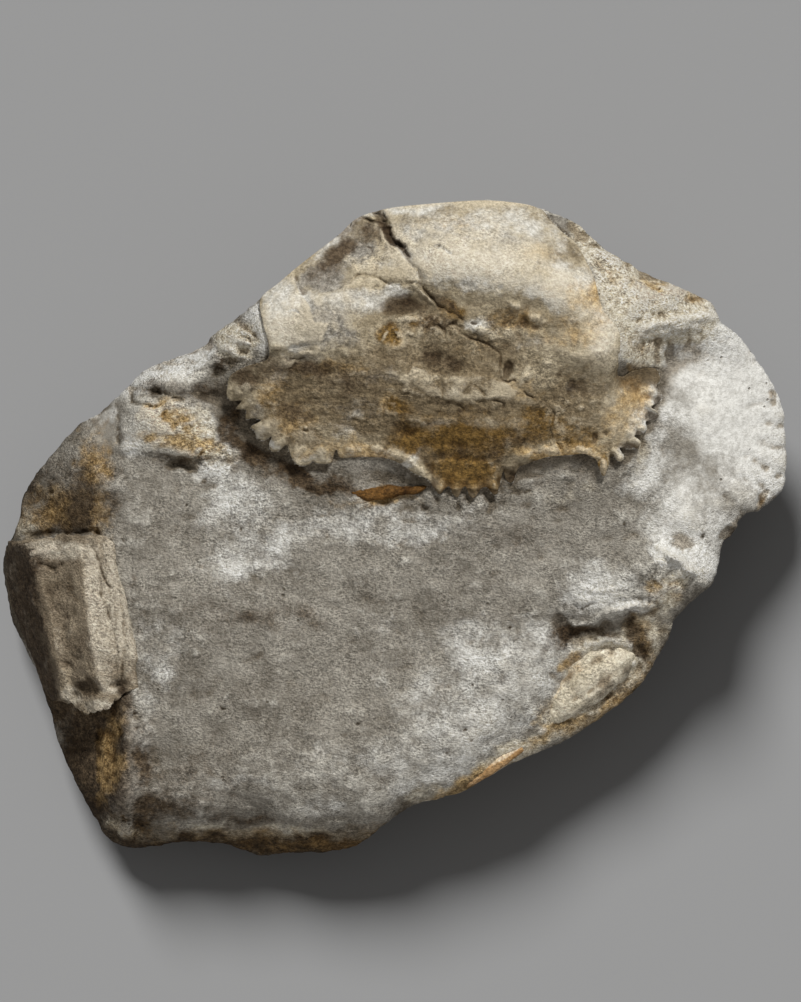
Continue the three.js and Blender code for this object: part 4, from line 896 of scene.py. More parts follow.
# The underside is the top's grid once more, lower down and in coarse faces, as the bed hides it.
shell_vertices = np.concatenate([rows_of(shell_x, shell_y, z) for z in (shell_z, shell_under)])
shell_faces = list(shell_cells)
for face in coarsened(shell_cells, shell_x.shape[1], np.ones(len(shell_cells), bool)):
    shell_faces.append(face[::-1] + shell_x.size)
shell_faces += ring_faces(shell_loop, shell_loop + shell_x.size)

# (layer, dark tone, light tone, lumps of its edge in mm), each laid over the ones before it.
shell_stone = weathered(
    "fossil_shell",
    dark=paint(124, 112, 90),
    light=paint(174, 162, 138),
    stains=[
        ("tan", paint(86, 73, 54), paint(132, 117, 92), 4),
        ("pale", paint(178, 174, 164), paint(222, 220, 213), 4),
        ("grey", paint(108, 103, 94), paint(160, 155, 146), 3),
        ("gold", paint(140, 114, 74), paint(212, 182, 132), 3.4),
        ("ochre", paint(64, 48, 22), paint(134, 104, 54), 3),
        ("brown", paint(54, 42, 29), paint(98, 83, 64), 3),
    ],
    dirt_and_shade=paint(130, 112, 92),
    worn=paint(200, 188, 164),
    bump=0.3,
    roughness=0.84,
    pits=0.3,
)
crab_carapace = make_piece("crab_carapace", shell_vertices, shell_faces, shell_layers, shell_stone)
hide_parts("carapace")
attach(crab_carapace, "root")


# --------------------------------------------------------------------------------------------------------
# The block of chalk that set round the crab, one natural piece: a granular grey field in front of the crab,
# a smooth white wing on the right, a rough wedge with a fluted cliff behind it, ledges on the left, brown
# weathered sides and a flat base. The crab's shell and limbs lie bedded in its top.
CHALK_CELL = 0.35
# The outline from above, clockwise from the hind end: (x, y) in mm.
BLOCK_RIM = [
    (-6.3, 51.4), (-1.7, 52.9), (4.2, 53.6), (14.2, 54.3), (20.8, 53.8), (25, 52.8), (30.5, 50.4),
    (34.2, 46.7), (40.8, 42.9), (47.5, 39.9), (50.8, 38.6), (52.9, 37.2), (54.1, 34.6), (57, 32.4),
    (59.2, 30), (61, 27.4), (63.2, 24.2), (64.5, 21.2), (65.3, 18.2), (65.7, 12.3), (65.2, 7.3),
    (63.3, 4.8), (61, 3.2), (58.8, 2.5), (57.8, 1.5), (56.2, -1), (54.7, -2.3), (54.2, -5.2),
    (53.4, -8.6), (51.4, -10.6), (48.9, -12.8), (46.7, -15.3), (45.7, -18.6), (44, -21.2), (42.3, -24.4),
    (40, -27.2), (36.5, -30.2), (29.7, -34.8), (25.7, -36.8), (21, -38.6), (14.3, -42.3), (10.9, -44.2),
    (7.6, -45.1), (2.5, -46.6), (-2.5, -50.2), (-5, -52.4), (-8.4, -53.9), (-12.6, -54.4), (-17.6, -54.6),
    (-21.9, -55.1), (-25.2, -54.4), (-27.4, -53.4), (-30.2, -52.9), (-34.5, -52.6), (-38.6, -53.1),
    (-42.8, -53.7), (-45.8, -53.6), (-48.4, -52.2), (-50, -49.8), (-52.4, -45.6), (-54.5, -41.4),
    (-56.4, -37.2), (-57.6, -33), (-58.8, -28.8), (-60.2, -24.6), (-62.2, -20.4), (-64.4, -16.1),
    (-65.5, -11.5), (-66.1, -7.6), (-66, -4), (-64.8, -1.8), (-63.4, 1.5), (-62.8, 4.8), (-61.8, 7.3),
    (-59.3, 10.6), (-53.4, 17), (-50.6, 18.8), (-48.5, 20.2), (-44.4, 24), (-42.8, 25.6), (-39.9, 27.4),
    (-32, 30.2), (-30.2, 32.3), (-26.9, 34.5), (-22.2, 38), (-15.8, 43.5), (-9.2, 48.7),
]
RIM_STEP = 0.4
RIM_RAGGED = 0.22
RIM_LUMPS = 1.6
# Heights and lines, as for the shell.
CHALK_SPOTS = [
    # the granular field, from the crab's front down to the lower edge
    (-24.2, 4.8, 26.2), (-7.5, 1.5, 26.8), (11.7, -0.2, 26.2), (27.5, 3.2, 25.9), (37.5, 1.5, 25.2),
    (-40.8, 1.5, 24), (-32.5, -5.2, 24.8), (-44.2, -11.8, 23), (-15.8, -11.8, 25.2), (0.8, -15.2, 24.6),
    (17.5, -15.2, 24), (24.2, -11.8, 23.8), (-32.5, -25.2, 22.8), (-12.5, -28.5, 23.2),
    (5.8, -28.5, 23.2), (16, -27.5, 23.2), (-40.8, -38.5, 19.4), (-30, -38, 21), (-22.5, -43, 20.4),
    (-14, -38.5, 22.2), (-7.5, -41, 21.6), (5.8, -37.5, 22), (0.8, -42, 20.4), (13, -34.6, 22),
    (-44.2, -47.5, 15.6), (-32.5, -47.6, 17), (-15.8, -48.6, 17), (-4.2, -45.4, 19.4), (27.5, -4.5, 24.8),
    (36, -2.4, 24.4),
    # lower rim
    (-42.5, -53, 10), (-30, -52.4, 10.4), (-21.7, -54.4, 9), (-9, -53.3, 12), (1, -46.6, 16.4),
    (9.2, -43.8, 17.2), (17.5, -39.8, 16.8), (27.5, -35.5, 15),
    # left side face
    (-46.2, -1.8, 22.4), (-47, 8, 22.6), (-55.8, 8.2, 16), (-60.8, 6.5, 11), (-53, 14.5, 17.4),
    (-48.7, 20.4, 19), (-45, -35, 21), (-50.2, -35.2, 14), (-55.4, -36, 8.4), (-47, -45.5, 17.6),
    (-49.8, -46.8, 11.4), (-55.8, -11.8, 15), (-62.5, -11.8, 8), (-45, -24, 21.2), (-56, -30, 10),
    (-47, 13.5, 21.4),
    # ledges and chunks at the upper left
    (-44, 24.6, 21.8), (-39.2, 26.8, 24), (-37.5, 24, 27.6), (-31.7, 29.6, 26.6), (-30, 26.5, 28.4),
    (-25.8, 30.7, 32), (-26.9, 34, 30.6), (-23, 37.2, 33), (-42.5, 17.3, 26), (-35.8, 16.5, 27),
    (-29.8, 15, 26.8), (-40.8, 9.4, 24), (-30.8, 8.6, 25),
    # the moat round the crab's left side and the chalk under its front
    (-29.4, 21.5, 26.6), (-26.4, 14.8, 26), (-19.6, 9.4, 26.2), (-12, 6.8, 26.8), (-4.2, 9, 27.6),
    (-9, 9.6, 27.4), (0.8, 8.6, 27.2), (0.8, 4.4, 26.6), (11.7, 3, 26.6), (24.2, 6.5, 27),
    (34.2, 5.8, 26.2), (27.5, 9, 27.6), (23, 9, 27.6), (31.5, 9.4, 27.2),
    # right of the crab, and the foot of the cliff
    (42.6, 13, 26), (45.6, 20, 26.2), (48, 25.6, 26), (50, 30.4, 26.8), (52.8, 32.4, 26.6),
    (38.4, 27.4, 32.6), (41, 28.6, 31.4), (40.2, 26.4, 30.2), (43, 26.4, 28.4), (44.4, 27, 27.6),
    (41, 31.4, 32.8), (46.6, 27.8, 26.8), (47, 33.4, 31.6), (51, 34.6, 28.6), (39.4, 33, 34.4),
    # the rough wedge
    (37.6, 36, 35.6), (40.8, 38.2, 34.4), (33.8, 45.6, 34), (37.5, 44, 32.6), (31, 49.4, 31.6),
    (47.5, 39, 30.4), (52.2, 36, 27.6), (45.4, 34.6, 32), (43, 42, 29), (50, 39, 27),
    # the white wing
    (55.4, 31.4, 24.6), (58, 29.6, 22), (61.6, 24.8, 19), (57, 21.5, 21.4), (64.4, 16.5, 15.8),
    (59, 13.2, 18.8), (51.4, 19.4, 24.6), (63.6, 7, 15), (57.5, 5.4, 19.4), (50.8, 8.2, 22.4),
    (48.8, 0.6, 23.2), (56.2, 0, 18.6), (62.8, 4.9, 15),
    # lower right: the crest, the lip over the hollow, its floor, and the outer rim
    (40.6, -1.6, 24.2), (44.6, -4.2, 25.4), (48.6, -6.6, 24.2), (47.8, -1.6, 22.2), (53.2, -5.2, 20.4),
    (52.2, -9.2, 20.4), (47.6, -11, 21.8), (37.5, -8.8, 24.4), (42.5, -10.4, 23.4), (28, -11.6, 23),
    (34.2, -13, 23), (38.6, -12.2, 23), (28.6, -16.4, 20.4), (34.2, -17.6, 19.9), (40.6, -17, 18.9),
    (42.4, -21.6, 16.2), (45, -17.4, 17.4), (41.6, -24, 15.4), (36.4, -29, 15.2), (30, -33.6, 15),
    (22.6, -25.4, 22), (19.4, -31.6, 20.8), (29, -25.2, 17.4), (25.6, -20.6, 21.4),
]
CHALK_RIDGES = [
    (0.9, [(-44, 23.4, -0.3), (-39, 22.4, -0.9), (-30, 22.3, -0.6)]),  # crack under the upper left ledge
    (1.6, [(26, -14.6, -0.3), (27.4, -16.8, -0.6), (29, -18, -0.4)]),  # end of the hollow
    (0.7, [(-62, -1.2, -0.4), (-50, -0.6, -0.5)]),  # crack above the claw
    (0.6, [(-46, -29, -0.4), (-46.2, -38, -0.6), (-46, -48, -0.6)]),  # crack of the lower left edge
    (1.5, [(-47, -48.6, 1), (-45, -50.6, 1.2)]),  # knob at the lower left corner
]
CHALK_LEDGES = [
    (0.7, 3, [(53.4, 34.2, 0.6), (46, 32.4, 1.4), (41, 31, 0.7)]),  # brow of the cliff
    (0.6, 3, [(-29, 13.2, 0.5), (-34, 12, 1.1), (-41, 12.8, 0.8), (-46, 13, 0.4)]),  # undercut chunk
    # lip
    (0.5, 2.4, [(44, -13, 0.5), (39.4, -14.2, 1), (35, -15.2, 1.1), (31.4, -16.4, 0.9),
     (27, -13.6, 0.3)]),
    (0.6, 3, [(-27.6, 28.4, 1.2), (-31.5, 25.2, 1)]),  # foot of the striated lumps
    # crest at the lower right
    (0.9, 3.4, [(52, -9.4, 0.2), (49, -7, 0.5), (45.6, -4.2, 0.4), (41.6, -2.6, 0.1)]),
    (0.5, 3, [(-46.6, -50, 1.2), (-46.4, -38, 2.6), (-46.2, -28, 2)]),  # long edge at the lower left
]
CHALK_FOLDS = [
    # brow of the cliff and the trough behind it
    (0.6, [(40.8, 32.5, 0.4), (42.8, 33.7, 0.8), (45, 34.2, 0.9), (47.5, 34.8, 0.9), (49.5, 35.2, 0.8),
     (51.5, 35.2, 0.7), (53, 34.8, 0.4)]),
    (1, [(43.3, 35.2, -0.3), (46.2, 35.5, -0.7), (48.8, 36, -0.4)]),
    # folds down the cliff
    (0.45, [(41, 30.7, -0.3), (40.8, 27.5, -0.4)]),
    (0.4, [(43.3, 31.2, -0.35), (43.2, 26.2, -0.35)]),
    (0.35, [(44.8, 31.5, 0.35), (44.8, 27.2, 0.35)]),
    (0.4, [(45.8, 31.5, -0.3), (46, 27.8, -0.3)]),
    (0.45, [(48.7, 33.2, -0.4), (48.8, 31.2, -0.45), (47.8, 29.5, -0.3)]),
    (0.4, [(50.5, 33.8, 0.4), (50.2, 32.2, 0.3)]),
    # crest at the lower right and the bumps below it
    (0.5, [(43.4, -3, 0.3), (45, -3.9, 0.7), (46.8, -5.2, 1.2), (48.6, -6.6, 1.4), (50.4, -8.1, 1.2),
     (51.6, -9, 0.5)]),
    (0.8, [(46.4, -2.6, -0.2), (48.6, -4.2, -0.4), (50.8, -6.2, -0.3)]),
    (0.35, [(42.4, -5.8, 0.3), (43.6, -5.5, 0.5), (45, -5.9, 0.3)]),
    (0.45, [(45.6, -6.8, -0.2), (47.6, -8.4, -0.3), (48.6, -10, -0.2)]),
    (0.4, [(43.4, -8, 0.4), (44.6, -9.2, 0.5), (45, -10.8, 0.3)]),
    # broken lip over the hollow, and the sill right of it
    (0.35, [(35, -14.3, 0.7), (37.4, -13.5, 1), (39.4, -13, 1), (42, -12.6, 0.5)]),
    (0.3, [(37.4, -12.2, -0.4), (39.8, -11.8, -0.5), (42.2, -11.6, -0.3)]),
    (0.3, [(27.6, -13.4, 0.3), (28.8, -15, 0.5), (30.4, -16, 0.6), (31.6, -15.6, 0.3)]),
    (0.3, [(32.2, -15.8, 0.3), (33.6, -15, 0.6), (35, -14.3, 0.4)]),
    (0.35, [(29.4, -12.6, -0.3), (31, -13.2, -0.5), (33.4, -12.4, -0.3)]),
    (0.3, [(30.6, -9.4, 0.2), (33, -10.6, 0.4), (36, -10.2, 0.2)]),
    (0.3, [(34.4, -8.2, -0.2), (37, -9.4, -0.4), (39.2, -8.6, -0.2)]),
    # edge of the floor above the leg, and the groove round it
    (0.7, [(29.8, -20.9, 0.3), (32.5, -19.5, 0.6), (34.8, -18.7, 0.8), (37.2, -18.7, 0.8),
     (39.4, -19.7, 0.6)]),
    (0.6, [(40.8, -19.5, -0.4), (41.7, -21.4, -0.6), (40.9, -23.4, -0.5), (38.8, -25.6, -0.4),
     (35.6, -28.4, -0.4), (31.8, -30.8, -0.3)]),
    (0.5, [(43.2, -16.8, 0.3), (43.5, -19.2, 0.4), (42.7, -21.8, 0.3)]),
    # cracks under the upper left ledge
    (0.35, [(-42.7, 24.2, -0.5), (-40.8, 23.3, -0.8), (-38.8, 22.7, -0.8), (-36.5, 21.8, -0.7),
     (-34.2, 21.2, -0.4)]),
    (0.3, [(-44, 23.5, -0.7), (-44, 21.3, -0.9), (-42.3, 20.7, -1), (-40, 20.5, -0.9),
     (-38.2, 21.3, -0.6)]),
    (0.35, [(-46.3, 20.8, -0.3), (-46, 18.2, -0.7), (-46.3, 16.2, -0.9), (-46, 13.8, -0.6)]),
    (0.3, [(-39.2, 18.5, -0.4), (-38, 19.3, -0.7)]),
    # striated lumps at the left corner of the crab
    (0.35, [(-29.6, 30.6, 0.3), (-27, 29.4, 0.6), (-24.2, 28, 0.5)]),
    (0.35, [(-28.4, 32.6, 0.3), (-25.6, 31, 0.6), (-22.4, 29, 0.5)]),
    (0.3, [(-27, 34, 0.3), (-24.6, 32.4, 0.5), (-22.2, 30.4, 0.4)]),
    (0.3, [(-30.6, 29, 0.3), (-28.4, 28.4, 0.5), (-26.2, 27.6, 0.3)]),
    (0.5, [(-29.5, 29.8, -0.4), (-28.2, 28.8, -0.6), (-26.8, 28, -0.5)]),
    (0.4, [(-25.8, 33.8, -0.6), (-23.5, 32.7, -0.8), (-21.8, 30.7, -0.9), (-20.8, 29.5, -0.7)]),
    (0.4, [(-32, 27.5, 0.3), (-30, 27.8, 0.6), (-27.8, 27, 0.5)]),
    # shallow flutes of the wing's rim
    (0.8, [(66, 17.4, -0.5), (63, 17.6, -0.3), (58, 17, 0)]),
    (0.7, [(66, 13.6, -0.6), (62.6, 14.2, -0.3), (57, 14.8, 0)]),
    (0.9, [(65.4, 9, -0.6), (61, 11, -0.4), (54.4, 13, 0)]),
    (0.7, [(63.6, 5.4, -0.5), (60, 7.6, -0.4), (53, 11, 0)]),
    (0.9, [(58.6, 2.4, -0.4), (55, 5.4, -0.4), (50, 9.4, 0)]),
    (0.8, [(65, 20.8, -0.4), (61, 21, -0.2), (57, 20.4, 0)]),
    # gap above the claw segment
    (0.25, [(-62.8, -1.8, -0.3), (-60.8, -1, -0.4), (-58.8, -0.6, -0.3), (-55.8, -0.8, -0.4),
     (-52.5, -0.5, -0.6), (-50.2, 0.2, -0.7), (-49.5, -1.3, -0.8), (-49.2, -2.8, -0.6)]),
    # long crack of the lower left edge, and its white vein
    (0.3, [(-46.2, -28, -0.5), (-46, -31, -0.9), (-46, -34.8, -0.9), (-45.7, -38.2, -0.6),
     (-46, -42.2, -0.4)]),
    (0.22, [(-47, -28.5, 0.3), (-46.7, -31.8, 0.45), (-46.3, -35.5, 0.3)]),
    (0.3, [(-48.6, -31, 0.2), (-48.2, -34.4, 0.4), (-48.8, -38, 0.4), (-48.2, -41.4, 0.2)]),
    (0.35, [(-50, -30, -0.3), (-49.6, -35, -0.5), (-49.8, -40.6, -0.3)]),
    (0.5, [(-47.3, -47.2, 0.5), (-46.2, -46.3, 0.7), (-45.2, -47.2, 0.8), (-44.3, -48.8, 0.6)]),
    (0.5, [(-46, -47, -0.7), (-45.7, -48.8, -0.9)]),
    # flutes in front of the crab
    (0.5, [(7, 5.3, -0.4), (7.2, 3.4, -0.2)]),
    (0.45, [(10.2, 5, -0.6), (10.3, 3.2, -0.3)]),
    (0.45, [(12.5, 5.2, -0.5), (12.7, 3.6, -0.2)]),
    (0.65, [(15.3, 6.2, -1), (15.6, 4.6, -0.8), (16, 3, -0.3)]),
    (0.5, [(11.4, 4.6, 0.3), (11.6, 3, 0.3)]),
    (0.4, [(14, 5, 0.25), (14.2, 3.6, 0.2)]),
    (0.4, [(18.7, 9, -0.5), (19.5, 6.8, -0.5), (20.2, 5.8, -0.3)]),
    # bedding streaks right of the front, and infill of the eye sockets
    (0.3, [(19.5, 6, -0.4), (21.5, 6.3, -0.6), (23.5, 6.7, -0.3)]),
    (0.3, [(20.8, 7.8, 0.3), (23.3, 8.2, 0.5), (25.8, 8, 0.4)]),
    (0.5, [(26.2, 8.8, 0.3), (30, 8.5, 0.5), (32.8, 7.5, 0.3)]),
    (0.45, [(-1.7, 10.3, 0.5), (0.2, 9.7, 0.8), (2.2, 8.8, 0.5)]),
    (0.4, [(-10.8, 10.8, 0.4), (-11, 9.3, 0.4)]),
    # bridges beside the right teeth
    (0.35, [(39.5, 11.2, 0.3), (38.5, 9.8, 0.5), (36.8, 8.5, 0.3)]),
]
CHALK_PITS = [
    # open pits of the wedge beside the crab
    (29.3, 50.2, 1, 0.83, -50, -1), (30.7, 48.7, 1.33, 0.83, -45, -1.6),
    (33, 46.7, 1.17, 0.42, -20, -1.2), (33.2, 43.7, 1.33, 1, -30, -0.9), (34, 40.7, 0.67, 0.5, 0, -0.5),
    (35, 37.7, 0.83, 0.67, 0, -0.6), (43.7, 39.8, 0.5, 0.33, 0, -0.9), (45.8, 38.2, 0.42, 0.33, 0, -1),
    (44, 36, 0.33, 0.33, 0, -1), (40.3, 34.5, 0.5, 0.33, 0, -0.7), (42.5, 35.5, 0.33, 0.33, 0, -0.6),
    (38, 43.8, 0.83, 0.5, -35, -0.6), (35.5, 46.2, 0.83, 0.5, -35, -0.5),
    (49.2, 38.2, 0.67, 0.33, -20, -0.5), (46.8, 37.2, 1.33, 0.5, -15, -0.5),
    # notches in the rim of the wing
    (63.3, 22.7, 0.5, 0.83, 20, -0.7), (63.3, 21.3, 0.42, 0.5, 0, -0.7), (61.5, 5.2, 1, 0.67, 35, -0.7),
    (55.5, 31.5, 0.67, 0.5, 0, -0.4), (51.3, -1.2, 0.33, 0.33, 0, -1.2), (55.5, -0.5, 1.5, 1, 40, -1),
    # pits of the field
    (19.2, -16.7, 0.33, 0.25, 0, -0.9), (17, -16.5, 0.25, 0.25, 0, -0.7),
    (11.7, -33.5, 0.5, 0.25, -20, -0.7), (8.5, -37.3, 0.25, 0.25, 0, -0.7),
    (-34.8, 4.2, 0.25, 0.25, 0, -0.8), (-25.5, 0, 0.25, 0.25, 0, -0.8),
    (-6.2, -32.3, 0.33, 0.25, 0, -0.7), (-28.8, -30, 0.5, 0.25, -20, -0.8),
    (-43.3, -30.5, 0.33, 0.25, 0, -0.8), (38.2, 1, 0.25, 0.25, 0, -0.9),
    (-45.3, -1.8, 0.5, 0.25, -40, -0.6), (-32, 8.2, 0.5, 0.25, -10, -0.6),
    (24.2, -22.5, 0.6, 1, 60, -0.35), (26.3, -24.5, 0.7, 0.7, 0, -0.4), (25.5, -19.8, 0.8, 0.5, 0, -0.3),
    # hollows and lumps of the ledges at the left
    (-36.3, 10.7, 1.67, 0.67, 5, -1.2), (-34.2, 10.5, 1.33, 1, -25, -1.4),
    (-28.2, 13.3, 0.53, 0.53, 0, 0.8), (-28.3, 11.8, 0.5, 0.5, 0, 0.7), (-32.7, 13.2, 0.5, 0.5, 0, 0.7),
    (-32, 12, 0.5, 0.5, 0, 0.7), (-32.2, 12.8, 0.33, 0.33, 0, -0.8), (-29.3, 25.5, 0.5, 0.33, -20, -0.7),
    (-57.7, 6.3, 0.5, 0.25, 20, -0.8), (-57.2, 8.3, 0.67, 0.25, 0, -0.6),
    (-45.2, 16.2, 0.67, 0.67, 0, 0.4),
    # hollow at the crab's left corner and in front of it
    (-27.7, 20.8, 1, 0.67, -20, -0.9), (5, 3.7, 0.67, 0.33, -15, -0.8), (5.5, 5.7, 0.67, 0.5, 0, 0.4),
    (10.3, 3.5, 0.5, 0.5, 0, -0.3),
    # hollow beside the claw's end, and lumps of the lower right rim
    (-45.7, -26.8, 1.33, 1, 0, -1.6), (36.7, -26.3, 0.83, 1.17, 10, 0.8),
    (39.8, -22.5, 0.67, 0.83, 0, 0.6), (24.7, -33.5, 0.83, 0.67, 30, 0.7),
    (32.5, -30.5, 0.83, 0.67, 30, 0.5),
]
# Kinds of surface and stains, as in ROUGH_SHELL.
ROUGH_CHALK = [
    (-10, 1.6, 24, 5, -2, 0.6), (42, 38.5, 12, 6, -20, 1), (34, 46, 6, 3.5, -35, 1),
    (-26.5, 31, 5, 4.5, 30, 0.9), (-37, 16.5, 7, 4.5, 0, 0.8), (-31, 12, 5, 3, 0, 0.9),
    (-38, 26.5, 9, 2.5, 14, 0.5), (45, -8, 8, 4, 20, 0.7), (26, -30, 10, 3, 30, 0.6),
    (-55, 8, 7, 9, -35, 0.5), (-50, -40, 5, 14, -15, 0.7), (-45, -50.5, 4, 3, 0, 0.8),
    (12, 4, 12, 2.5, 0, 0.6), (44, 30, 7, 3, 20, 0.5),
]
SMOOTH_CHALK = [
    (57, 20, 9, 12, 0, 0.9), (51, 9, 8, 8, 0, 0.7), (-48, 17, 2.5, 5, 0, 0.9), (48, 24, 4, 6, 0, 0.8),
]
# Fine ridges along the beds, beside the crab.
STRIPED_CHALK = [
    (-27, 30.5, 4.5, 4, -20, 0.9), (-36, 23, 7, 1.6, -8, 0.9), (-13, 8, 10, 2.5, -8, 0.5),
    (21, 7, 7, 3, 0, 0.6), (5, 3.5, 9, 2, 0, 0.5),
]
# The face of the cliff, striped up and down.
FLUTED_CHALK = [
    (43, 29.6, 6, 2.6, 10, 1), (48, 31.6, 4.6, 2, 20, 1), (40, 28, 3, 3, 0, 0.8),
]
